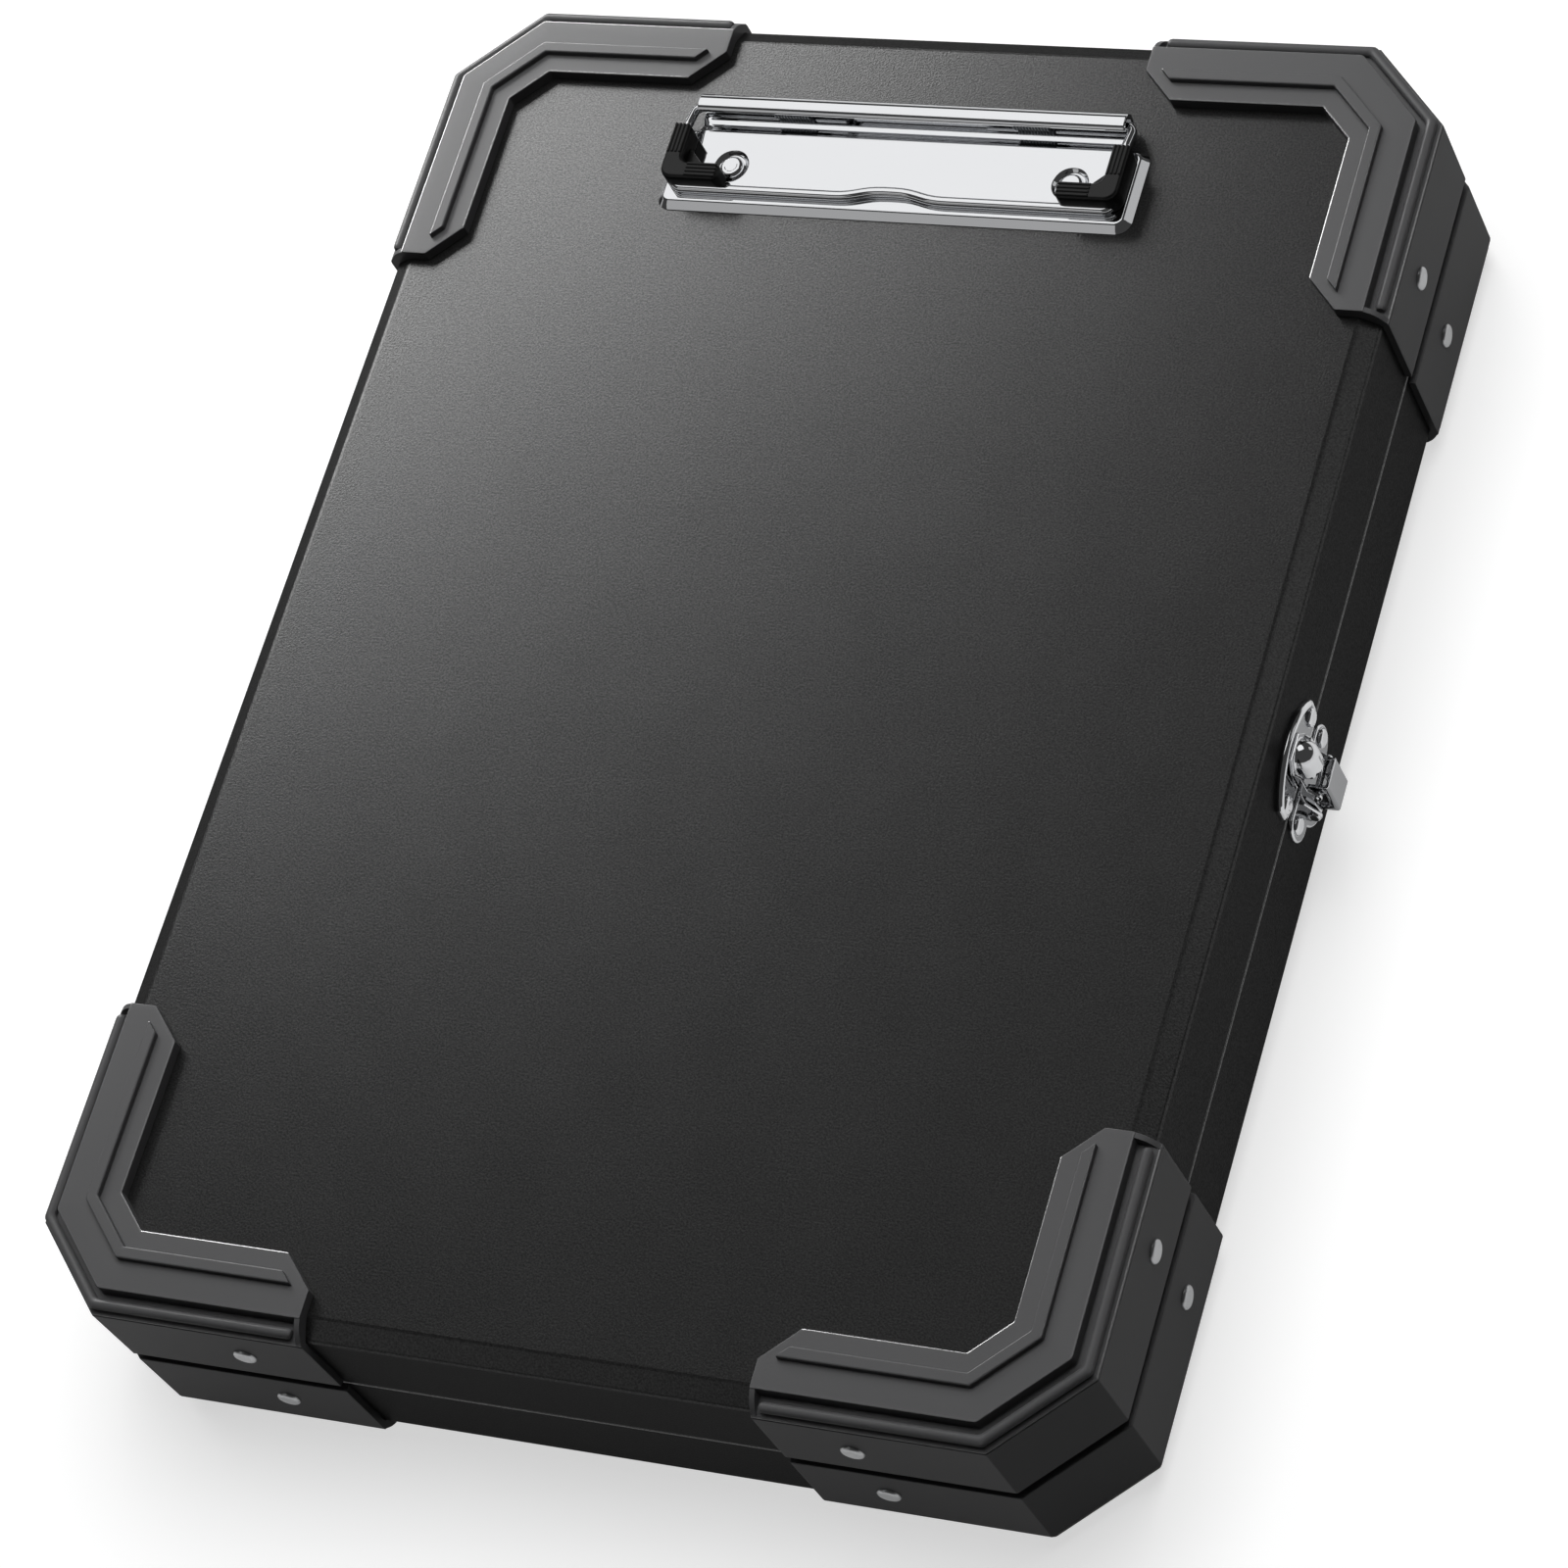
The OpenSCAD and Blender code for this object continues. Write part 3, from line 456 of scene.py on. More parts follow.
def swept(bm, section, corner, ends, shiny=()):
    """Sweeps a closed section round a corner.

    section: (inset, height, plan radius) of each point.  ends: how far a leg reaches at an inset,
    and a list, from the leg's end inwards, of (distance back from the end, (inset, height) points).
    shiny as for skin."""
    sx, sy, side = corner
    reach, stages = ends
    lines = [corner_line(i, r, 0) for i, h, r in section]
    middle = [[(line[k][0], line[k][1], h) for line, (i, h, r) in zip(lines, section)]
              for k in range(1, len(lines[0]) - 1)]
    tips = [[(i, reach(i) - back, h) for i, h in points] for back, points in stages]
    rings = tips + middle + [[(q, p, h) for p, q, h in tip] for tip in reversed(tips)]
    return skin(bm, [[(MID_X + sx * (HALF_X - p), sy * (HALF_Y - q), MID_Z + side * h) for p, q, h in ring]
                     for ring in rings], caps=False, shiny=shiny)


GUARD_WIDTH = 19.5
PLATE_MID = 11.5        # where a leg's end is split into two flat faces
RIB_REACH = 80.6        # as slant, for the rib


def guard_section(face, closed):
    """Section of a guard from the wall's foot up over the shoulder, groove and plate and back
    under; closed fills the groove, as at the leg ends."""
    foot = 1.35
    wall = [(1.7, foot), (0.4, foot), (0.12, foot + 0.12), (0, foot + 0.4), (0, face - 5.5),
            (0.26, face - 5.3), (0.08, face - 5.02), (0.12, face - 4.8), (0.36, face - 4.6)]
    if closed:
        groove = [(0.7, -4.1), (1.1, -3.45), (1.65, -2.7), (2.35, -1.92), (3.3, -1.1), (4.4, -0.5)]
    else:
        groove = [(0.95, -4.35), (1.3, -4.0), (2.05, -3.75), (3.2, -3.65), (4.6, -3.55), (4.8, -3.3)]
    plate = [(4.8, face - 0.4), (4.88, face - 0.14), (5.16, face), (PLATE_MID, face), (19.1, face),
             (19.4, face - 0.12), (GUARD_WIDTH, face - 0.4),
             (GUARD_WIDTH, DEPTH + 0.01), (PLATE_MID, DEPTH + 0.01), (6.9, DEPTH + 0.01),
             (5.8, DEPTH - 0.39), (2.2, DEPTH - 2.7), (1.7, DEPTH - 3.3)]
    return wall + [(i, face + h) for i, h in groove] + plate


def build_guard(bm, corner):
    """One guard: wall, shoulder, groove and face plate in one sweep, then the bead and the rib."""
    g = bpy.context.scene.guard_settings
    face = DEPTH + g.plate * 1000
    leg, slant = g.leg * 1000, g.slant * 1000
    reach = lambda i: min(leg, slant - i)
    full, filled = guard_section(face, False), guard_section(face, True)
    radii = [0.6] * 9 + [1.0, 1.2, 1.6, 1.6, 1.6, 1.6] + [1.5] * 3 + [1.0] + [0.6] * 9
    section = [(i, h, r) for (i, h), r in zip(full, radii)]
    stages = [(0.0, drawn_in(filled, 0.16)), (0.06, drawn_in(filled, 0.05)), (0.22, filled),
              (1.3, filled), (1.42, full)]
    # bright: the lip above the wall, and the plate's outer and inner edges
    loops = swept(bm, section, corner, (reach, stages), shiny=(6, 7, 15, 16, 19, 20))
    a, b = [k for k, p in enumerate(full) if abs(p[0] - PLATE_MID) < 1e-6]
    for ring in (loops[0], loops[-1]):
        bm.faces.new(ring[a:b + 1])
        bm.faces.new(ring[b:] + ring[:a + 1])
    # round bead lying in the groove
    turn = [math.radians(30 * k) for k in range(12)]
    bead = lambda r: [(2.05 + r * math.cos(a), face - 3.1 + r * math.sin(a)) for a in turn]
    loops = swept(bm, [(i, h, 1.6) for i, h in bead(1.25)], corner,
                  (reach, [(2.2, bead(0.55)), (2.35, bead(0.9)), (2.7, bead(1.15)), (3.3, bead(1.25))]))
    for ring in (loops[0], loops[-1]):
        bm.faces.new(ring)
    # raised rib, with bright lines along its outer top edge
    top = face + g.rib_height * 1000
    rib = rounded([(13.3, face - 0.2), (11.9, face - 0.2), (11.9, top), (14.7, top), (14.7, face - 0.2),
                   (13.3, face - 0.2)], [0, 0, 0.4, 0.4, 0, 0])[:-1]
    tips = [(0.0, drawn_in(rib, 0.2)), (0.07, drawn_in(rib, 0.07)), (0.25, rib)]
    loops = swept(bm, [(i, h, 0.8) for i, h in rib], corner,
                  (lambda i: RIB_REACH - i, tips), shiny=(2, 3, 5, 6))
    for ring in (loops[0], loops[-1]):
        bm.faces.new(ring)


class CLIPBOARD_OT_guards(bpy.types.Operator):
    """Build the eight moulded corner guards"""
    bl_idname = "clipboard.corner_guards"
    bl_label = "Corner guards"

    def execute(self, context):
        for half, side in (("lid", 1), ("base", -1)):
            for end, sy in (("front", -1), ("rear", 1)):
                for hand, sx in (("left", -1), ("right", 1)):
                    node = f"{half}_guard_{end}_{hand}"
                    obj = piece(node + "_moulding", lambda bm: build_guard(bm, (sx, sy, side)),
                                "abs", 30, second="abs_edge")
                    claim(obj, half, "guard", node)
        return {"FINISHED"}


# ------------------------------------------------------------------ repeated pieces


def scatter_tree():
    """Nodes that stand a head on every point, turned along the point's axis, and a tail behind it."""
    tree = bpy.data.node_groups.new("stand_on_points", "GeometryNodeTree")
    face = tree.interface
    face.new_socket("Points", in_out="INPUT", socket_type="NodeSocketGeometry")
    for name, kind in (("Head", "Object"), ("Tail", "Object"), ("Width", "Float"), ("Height", "Float"),
                       ("Grip", "Float"), ("Tail width", "Float"), ("Finish", "Material")):
        face.new_socket(name, in_out="INPUT", socket_type="NodeSocket" + kind)
    face.new_socket("Mesh", in_out="OUTPUT", socket_type="NodeSocketGeometry")
    start = add(tree, "NodeGroupInput").outputs
    axis = add(tree, "GeometryNodeInputNamedAttribute", {"Name": "axis"}, data_type="FLOAT_VECTOR")
    turn = add(tree, "FunctionNodeAlignRotationToVector", {"Vector": axis.outputs["Attribute"]}, axis="Z")
    both = add(tree, "GeometryNodeJoinGeometry")
    for what, width, behind in (("Head", "Width", False), ("Tail", "Tail width", True)):
        shape = add(tree, "GeometryNodeObjectInfo", {"Object": start[what]})
        size = add(tree, "ShaderNodeCombineXYZ", {"X": start[width], "Y": start[width], "Z": start["Height"]})
        put = add(tree, "GeometryNodeInstanceOnPoints", {
            "Points": start["Points"], "Instance": shape.outputs["Geometry"],
            "Rotation": turn.outputs["Rotation"], "Scale": size.outputs[0]})
        if behind:
            back = add(tree, "ShaderNodeMath", {0: start["Grip"], 1: -1.0}, operation="MULTIPLY")
            move = add(tree, "ShaderNodeCombineXYZ", {"Z": back.outputs[0]})
            put = add(tree, "GeometryNodeTranslateInstances", {
                "Instances": put.outputs[0], "Translation": move.outputs[0]})
        tree.links.new(put.outputs[0], both.inputs[0])
    real = add(tree, "GeometryNodeRealizeInstances", {"Geometry": both.outputs[0]})
    finish = add(tree, "GeometryNodeSetMaterial", {
        "Geometry": real.outputs[0], "Material": start["Finish"]})
    add(tree, "NodeGroupOutput", {"Mesh": finish.outputs[0]})
    return tree


def turned(name, outline, sides=20):
    """A solid of revolution about Z from (radius, height) points, unit sized."""
    def build(bm):
        rings = [[(r * math.cos(2 * math.pi * k / sides), r * math.sin(2 * math.pi * k / sides), z)
                  for k in range(sides)] for r, z in outline]
        skin(bm, rings)
    return piece(name, build, "rivet", 40, unit=1)


def rivet_set(name, spots, width, height, grip, body, node, key="rivet", tail=4.8):
    """Rivets at (place, axis) spots in millimetres, by Geometry Nodes, as one plain mesh.

    grip is how far behind its head a rivet's tail starts."""
    head = turned("head", [(0.05, 0.94), (0.24, 0.95), (0.27, 1), (0.36, 0.97), (0.43, 0.84),
                           (0.48, 0.58), (0.5, 0.25), (0.5, -0.1)])
    foot = turned("foot", [(0.5, 0.05), (0.5, -0.75), (0.42, -1), (0.16, -1), (0.12, -0.75),
                           (0.02, -0.7)])
    mesh = bpy.data.meshes.new(name)
    mesh.from_pydata([Vector(p) * MM for p, a in spots], [], [])
    axes = mesh.attributes.new("axis", "FLOAT_VECTOR", "POINT")
    axes.data.foreach_set("vector", [c for p, a in spots for c in a])
    obj = bpy.data.objects.new(name, mesh)
    bpy.context.scene.collection.objects.link(obj)
    if "stand_on_points" not in bpy.data.node_groups:
        scatter_tree()
    run = obj.modifiers.new("rivets", "NODES")
    run.node_group = bpy.data.node_groups["stand_on_points"]
    values = {"Head": head, "Tail": foot, "Width": width * MM, "Height": height * MM, "Grip": grip * MM,
              "Tail width": tail * MM, "Finish": material(key)}
    for item in run.node_group.interface.items_tree:
        if item.name in values:
            run[item.identifier] = values[item.name]
    plain(obj)
    for part in (head, foot):
        bpy.data.objects.remove(part)
    claim(obj, body, "rivet", node)


class CLIPBOARD_OT_rivets(bpy.types.Operator):
    """Set the rivets of the guards, hinge, clip and latch"""
    bl_idname = "clipboard.rivets"
    bl_label = "Rivets"

    def execute(self, context):
        s = context.scene.metal_settings
        leg = context.scene.guard_settings.leg * 1000
        width, far = s.rivet_width * 1000, leg - GUARD_WIDTH
        for half, side in (("lid", 1), ("base", -1)):
            spots = []
            for a in (-1, 1):
                for b in (-1, 1):
                    z = MID_Z + side * 12
                    spots.append(((MID_X + a * (HALF_X - far), b * HALF_Y, z), (0, b, 0)))
                    spots.append(((MID_X + a * HALF_X, b * (HALF_Y - far), z), (a, 0, 0)))
            rivet_set(half + "_guard_rivet_heads", spots, width, 0.8, 2.9, half, half + "_guard_rivets")
            leaf = MID_X - HALF_X + WALL_IN - 0.8
            spots = [((leaf, 2 * HINGE_HALF * ((k + 0.5) / 6 - 0.5), MID_Z + side * 9.15), (-1, 0, 0))
                     for k in range(6)]
            rivet_set("hinge_" + half + "_rivet_heads", spots, 4.6, 0.6, 2.0, half,
                      "hinge_" + half + "_rivets")
        wall = MID_X + HALF_X - WALL_IN + 1
        for node, z, body in (("latch_keeper_rivets", KEEPER_RIVET_Z, "lid"),
                              ("latch_base_rivets", BASE_RIVET_Z, "base")):
            spots = [((wall, a * PLATE_RIVET, MID_Z + z), (1, 0, 0)) for a in (-1, 1)]
            heads = node.replace("rivets", "rivet_heads")
            rivet_set(heads, spots, 4.6, 0.9, 3.1, body, node, "nickel")
        spots = [((MID_X + a * RIVET_X, RIVET_Y, PANEL + 1), (0, 0, 1)) for a in (-1, 1)]
        rivet_set("clip_rivet_heads", spots, 6.1, 1.2, 2.2, "lid", "clip_rivets", "nickel")
        return {"FINISHED"}


# ------------------------------------------------------------------ hinge


class CLIPBOARD_OT_hinge(bpy.types.Operator):
    """Build the piano hinge: two leaves with rolled knuckles and the pin"""
    bl_idname = "clipboard.hinge"
    bl_label = "Piano hinge"

    def execute(self, context):
        axis_x = ((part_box("hinge_pin")[0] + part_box("hinge_pin")[1]) / 2).x * 1000
        wall = MID_X - HALF_X + WALL_IN
        r, bore, tab = 2.3, 1.2, 0.8
        out = wall - axis_x
        for half, side, first in (("lid", 1, 1), ("base", -1, 0)):
            roll, hole = [[(q * math.cos(math.radians(a)), q * math.sin(math.radians(a))) for a in turns]
                          for q, turns in ((r, range(90, 381, 18)), (bore, range(378, 89, -24)))]
            section = [(out - tab, 3.4), (out - tab, 2.6), (out - tab - 0.3, 2.3)] + roll + hole + [
                (0.25, 1.42), (out - 0.5, 1.45), (out - 0.15, 1.6), (out - 0.02, 1.9), (out - 0.02, 3.4)]
            half_len = PITCH / 2 - 0.18

            def build(bm):
                for y in [PITCH * (k + 0.5) - HINGE_HALF for k in range(first, KNUCKLES, 2)]:
                    rings = []
                    for dy, cut in ((-half_len, 0.12), (-half_len + 0.12, 0),
                                    (half_len - 0.12, 0), (half_len, 0.12)):
                        ring = drawn_in(section, cut) if cut else section
                        rings.append([(axis_x + u, y + dy, MID_Z + side * v) for u, v in ring])
                    skin(bm, rings)
                # leaf
                end, low = HINGE_HALF, 2.7
                edge = rounded([(end, 9), (end, LEAF_TOP), (-end, LEAF_TOP), (-end, low), (end, low),
                                (end, 9)], [0, 1.2, 1.2, 0.3, 0.3, 0], 30)[:-1]
                rings = []
                for x, cut in ((wall - 0.02, 0), (wall - 0.65, 0), (wall - 0.76, 0.05), (wall - 0.8, 0.16)):
                    ring = drawn_in(edge, cut) if cut else edge
                    rings.append([(x, v, MID_Z + side * z) for v, z in ring])
                skin(bm, rings)
            obj = piece("hinge_" + half + "_rolled_leaf", build, "zinc", 35)
            claim(obj, half, "hinge", "hinge_" + half + "_leaf")

        def pin(bm):
            ends = [(0.3, -95.25), (0.75, -95.15), (1.02, -94.9), (1.1, -94.5)]
            rings = []
            for q, y in ends + [(q, -y) for q, y in reversed(ends)]:
                rings.append([(axis_x + q * math.cos(math.radians(a)), y,
                               MID_Z + q * math.sin(math.radians(a))) for a in range(0, 360, 20)])
            skin(bm, rings)
        claim(piece("hinge_pin_rod", pin, "zinc", 35), "base", "hinge", "hinge_pin")
        return {"FINISHED"}


# ------------------------------------------------------------------ paper clip


def bent(points, radii, step=12):
    """3D points with each inner corner turned into an arc of its radius."""
    out = [Vector(points[0])]
    for k in range(1, len(points) - 1):
        p = Vector(points[k])
        a = (Vector(points[k - 1]) - p).normalized()
        b = (Vector(points[k + 1]) - p).normalized()
        bend = math.pi - a.angle(b)
        r = radii[k]
        centre = p + (a + b).normalized() * r / math.cos(bend / 2)
        start = p + a * r * math.tan(bend / 2) - centre
        spin = start.cross(p + b * r * math.tan(bend / 2) - centre).normalized()
        count = max(3, math.ceil(math.degrees(bend) / step))
        for j in range(count + 1):
            out.append(centre + Matrix.Rotation(bend * j / count, 3, spin) @ start)
    return out + [Vector(points[-1])]


def tube(bm, line, radius, sides=16, tip=0.25):
    """A round wire along a line, its ends slightly rounded."""
    frames = []
    side = None
    for k, p in enumerate(line):
        d = (line[min(k + 1, len(line) - 1)] - line[max(k - 1, 0)]).normalized()
        if side is None:
            side = d.orthogonal().normalized()
        else:
            side = (side - d * side.dot(d)).normalized()
        frames.append((p, d, side, d.cross(side)))
    rings = []
    turns = [2 * math.pi * j / sides for j in range(sides)]
    first, last = frames[0], frames[-1]
    for (p, d, u, v), r, shift in ([(first, radius - tip, 0), (first, radius, tip)] +
                                   [(f, radius, 0) for f in frames[1:-1]] +
                                   [(last, radius, -tip), (last, radius - tip, 0)]):
        p = p + d * shift
        rings.append([p + u * r * math.cos(t) + v * r * math.sin(t) for t in turns])
    skin(bm, rings)


def rounded_box(half_x, front, rear, radius):
    """Plan of a plate with four round corners."""
    cx, lo, hi = half_x - radius, front + radius, rear - radius
    return (arc((cx, lo), radius, -90, 0, 15) + arc((cx, hi), radius, 0, 90, 15) +
            arc((-cx, hi), radius, 90, 180, 15) + arc((-cx, lo), radius, 180, 270, 15))


def build_clip_plate(bm):
    """Skirted plate with two dished rivet seats, its tongue and the rolled rear edge."""
    front, rear, half_x = 119.0, 141.9, 60.5
    place = lambda x, y, z: (MID_X + x, y, PANEL + z)
    # (height, inset): foot, sloping skirt, rounded shoulder
    skirt = [(0.02, 0.6), (0.02, 0.0), (0.2, 0.0), (1.45, 1.25), (1.68, 1.5), (1.86, 1.74),
             (1.96, 2.0), (2.0, 2.3)]
    rings = [[place(x, y, z) for x, y in rounded_box(half_x - i, front + i, rear - i, 3.5 - i)]
             for z, i in skirt]
    loops = skin(bm, rings, caps=False)
    bm.faces.new(loops[0])
    edges = [bm.edges.get((v, loops[-1][k - 1])) for k, v in enumerate(loops[-1])]
    dish = [(4.75, 2.0), (4.5, 1.95), (4.25, 1.8), (3.75, 1.25), (3.5, 1.06), (3.1, 1.0), (1.2, 1.0)]
    for hand in (-1, 1):
        hole = skin(bm, [[place(hand * RIVET_X + x, RIVET_Y + y, z) for x, y in arc((0, 0), r, 0, 350, 10)]
                         for r, z in dish], caps=False)
        bm.faces.new(hole[-1])
        edges += [bm.edges.get((v, hole[0][k - 1])) for k, v in enumerate(hole[0])]
    bmesh.ops.triangle_fill(bm, edges=edges, use_beauty=True, normal=(0, 0, 1))
    # tongue: a shallow channel, then round into the roll up to its rounded lip
    axle, r, lip_turn = (AXLE_Y, AXLE_Z), 3.1, math.radians(135)
    top = [(139.2, 1.99), (140.4, 1.99), (140.9, 1.9), (141.5, 1.45), (142.2, 1.22), (143.0, 1.3),
           (143.8, 1.75)]
    inner = arc(axle, r - 1, -104, 132, 14)
    lip = arc((AXLE_Y + (r - 0.5) * math.cos(lip_turn), AXLE_Z + (r - 0.5) * math.sin(lip_turn)),
              0.5, -45, -225, 45)[1:-1]
    outer = arc(axle, r, 132, -92, 10)
    low = [(143.2, 0.95), (142.2, 0.5), (141.2, 0.6), (140.0, 1.0), (139.2, 1.0)]
    section = top + inner + lip + outer + low
    ends = ((-54.6, 0.14), (-54.5, 0.03), (-54.35, 0), (54.35, 0), (54.5, 0.03), (54.6, 0.14))
    skin(bm, [[place(x, y, z) for y, z in (drawn_in(section, cut) if cut else section)]
              for x, cut in ends])


GRIP_FRONT = 123.3


def grip_outline(cut):
    """Plan of the +X grip, drawn in by a distance."""
    long, wide = 15.3, 4.6
    x, y = BAIL_X + wide / 2, GRIP_FRONT
    c = cut
    return rounded([
        (x - c, y + 9), (x - c, y + long - c), (x - wide + c, y + long - c), (x - wide + c, y + wide - c),
        (x - long + c, y + wide - c), (x - long + c, y + c), (x - c, y + c), (x - c, y + 9)],
        [0, 1.5 - c, 1.5 - c, 2.0 + c, 1.5 - c, 1.5 - c, 3.2 - c, 0], 15)[:-1]


def build_grip(bm, hand):
    """L-shaped grip moulded over the wire's corner, with ridges along both arms."""
    top = PANEL + 2 + 6.08
    rings = []
    for cut, z in ((0.5, -5.98), (0.15, -5.8), (0, -5.4), (0, -1.5), (0.05, -0.85), (0.22, -0.4),
                   (0.5, -0.12), (0.9, 0)):
        rings.append([(MID_X + hand * x, y, top + z) for x, y in grip_outline(cut)])
    skin(bm, rings)
    # inner web, lower than the arms
    web = rounded([(55, 127.9), (55, 127), (49.8, 127), (49.8, 129.6), (53.75, 133.6), (55, 133.6),
                   (55, 127.9)], [0, 0, 0, 1.6, 1.6, 0, 0])[:-1]
    slab(bm, web, top - 5.9, top - 3.4, lambda x, y, z: (MID_X + hand * x, y, z), 0.4)
    for k in range(4):
        off = (k - 1.5) * RIDGE_STEP
        for along in (True, False):
            rings = []
            for rise, w in ((-0.5, 0.3), (0.16, 0.3), (0.34, 0.14)):
                box = [(off - w, 7.2 - w), (off + w, 7.2 - w), (off + w, 14.6 + w), (off - w, 14.6 + w)]
                spots = [(BAIL_X + a, GRIP_FRONT + b) if along else (58.35 - b, 125.6 + a) for a, b in box]
                rings.append([(MID_X + hand * x, y, top + rise) for x, y in spots])
            skin(bm, rings)


class CLIPBOARD_OT_clip(bpy.types.Operator):
    """Build the paper clip: plate, wire bail, grips and springs"""
    bl_idname = "clipboard.paper_clip"
    bl_label = "Paper clip"

    def execute(self, context):
        plate = piece("clip_pressed_plate", build_clip_plate, "nickel", 40)
        claim(plate, "lid", "bright_plate", "clip_plate")
        axle = (AXLE_Y, PANEL + AXLE_Z)
        front, low = BAIL_FRONT, PANEL + 3.2
        half = [(4.4, front + 1.8, low), (11, front, low), (BAIL_X, front, low),
                (BAIL_X, 139.2, low + 2.4), (BAIL_X, *axle), (18, *axle)]
        radii = [22, 22, 2.2, 4, 2.2, 0]
        path = [(MID_X - x, y, z) for x, y, z in reversed(half)] + [(MID_X + x, y, z) for x, y, z in half]
        line = bent(path, list(reversed(radii)) + radii)
        wire = piece("clip_bail_wire", lambda bm: tube(bm, line, 1.15), "nickel", 50)
        claim(wire, "clip_bail", "bright_plate", "clip_wire")
        for name, hand in (("right", 1), ("left", -1)):
            grip = piece("clip_moulded_grip_" + name, lambda bm: build_grip(bm, hand), "rubber", 40)
            claim(grip, "clip_bail", "grip", "clip_grip_" + name)

        def coils(bm):
            start, lead, radius, turns, per_turn = 26, 0.77, 1.625, 12, 16
            for hand in (-1, 1):
                line = []
                for k in range(turns * per_turn + 1):
                    t = 2 * math.pi * k / per_turn
                    line.append(Vector((MID_X + hand * (start + lead * k / per_turn),
                                        axle[0] + radius * math.cos(t), axle[1] + radius * math.sin(t))))
                tube(bm, line, 0.35, 8, 0.1)
        claim(piece("clip_wound_springs", coils, "zinc", 60), "lid", "pin_steel", "clip_springs")
        return {"FINISHED"}


# ------------------------------------------------------------------ latch


def on_wall(u, v, m):
    """A point out from the case wall, along it, and up from the parting line."""
    return (MID_X + HALF_X - WALL_IN + u, v, MID_Z + m)


def sideways(u, m, v):
    """As on_wall, for slabs that stand out from the wall."""
    return on_wall(u, v, m)


def cut_by(outline, centre, angles):
    """Where rays from a centre, at the given angles, meet a convex outline."""
    out = []
    for t in angles:
        d = Vector((math.cos(t), math.sin(t)))
        for a, b in zip(outline, outline[1:] + outline[:1]):
            a, e = Vector(a) - Vector(centre), Vector(b) - Vector(a)
            det = d.x * -e.y + d.y * e.x
            if abs(det) < 1e-12:
                continue
            s, k = (a.x * -e.y + a.y * e.x) / det, (d.x * a.y - d.y * a.x) / det
            if s > 0 and -1e-9 <= k <= 1 + 1e-9:
                out.append((centre[0] + d.x * s, centre[1] + d.y * s))
                break
    return out


def build_keeper(bm):
    """Arched plate with a raised rim that a dished slope leads down from, and the stud."""
    top = math.degrees(math.atan2(12.7, 14))
    plan = (arc((10.6, 4.2), 3.4, -90, 0) + arc((0, -5), 18.9, top, 180 - top, 4) +
            arc((-10.6, 4.2), 3.4, 180, 270))
    # (inset, level on the plate, extra level on the arched rim)
    steps = ((0.1, 0, 0), (0, 0.05, 0), (0, 0.4, 0.3), (0.1, 0.62, 0.46), (0.3, 0.82, 0.6), (0.6, 0.95, 0.7),
             (0.9, 1.0, 0.72), (1.2, 1.0, 0.6), (1.6, 1.0, 0.24), (1.9, 1.0, 0.05), (2.3, 1.0, 0))
    rings = []
    for inset, level, rim in steps:
        ring = drawn_in(plan, inset) if inset else plan
        # the rim fades out towards the plate's foot
        rings.append([on_wall(level + rim * min(1, max(0, (p[1] - 2.4) / 2.4)), *q)
                      for p, q in zip(plan, ring)])
    skin(bm, rings, bright=range(7))
    spun(bm, [(2.2, 0.9), (2.2, 3.9), (2.0, 4.15), (1.0, 4.2)], lambda a, b, u: on_wall(u, a, DOME_Z + b))


def build_latch_base(bm):
    """Scalloped plate with two ears for the hasp."""
    lobe, big = ((9.4, -5.4), 4.9), ((0, -8.2), 8.5)
    plan = (arc(*lobe, 69.8, -103.3, 10) + arc(*big, -13.4, -166.6, 8)[1:-1] +
            arc((-lobe[0][0], lobe[0][1]), lobe[1], 283.3, 110.2, 10))
    skin(bm, [[on_wall(u, *p) for p in (drawn_in(plan, cut) if cut else plan)]
              for u, cut in ((0, 0.1), (0.05, 0), (0.6, 0), (0.82, 0.08), (0.96, 0.26), (1.0, 0.5))],
         bright=EDGES)
    ear = [(0.5, -3.5), (1.6, -3.5)] + arc(HASP_PIN, 1.7, 25, -90) + [(0.5, -11.6)]
    for low in (5.5, -6.3):
        slab(bm, ear, low, low + 0.8, sideways, bright=EDGES)


def tombstone(w, low):
    """Outline of the dome at half width w: flat foot, round head."""
    return [(-w, low), (w, low)] + arc((0, DOME_Z), w, 0, 180, 10)


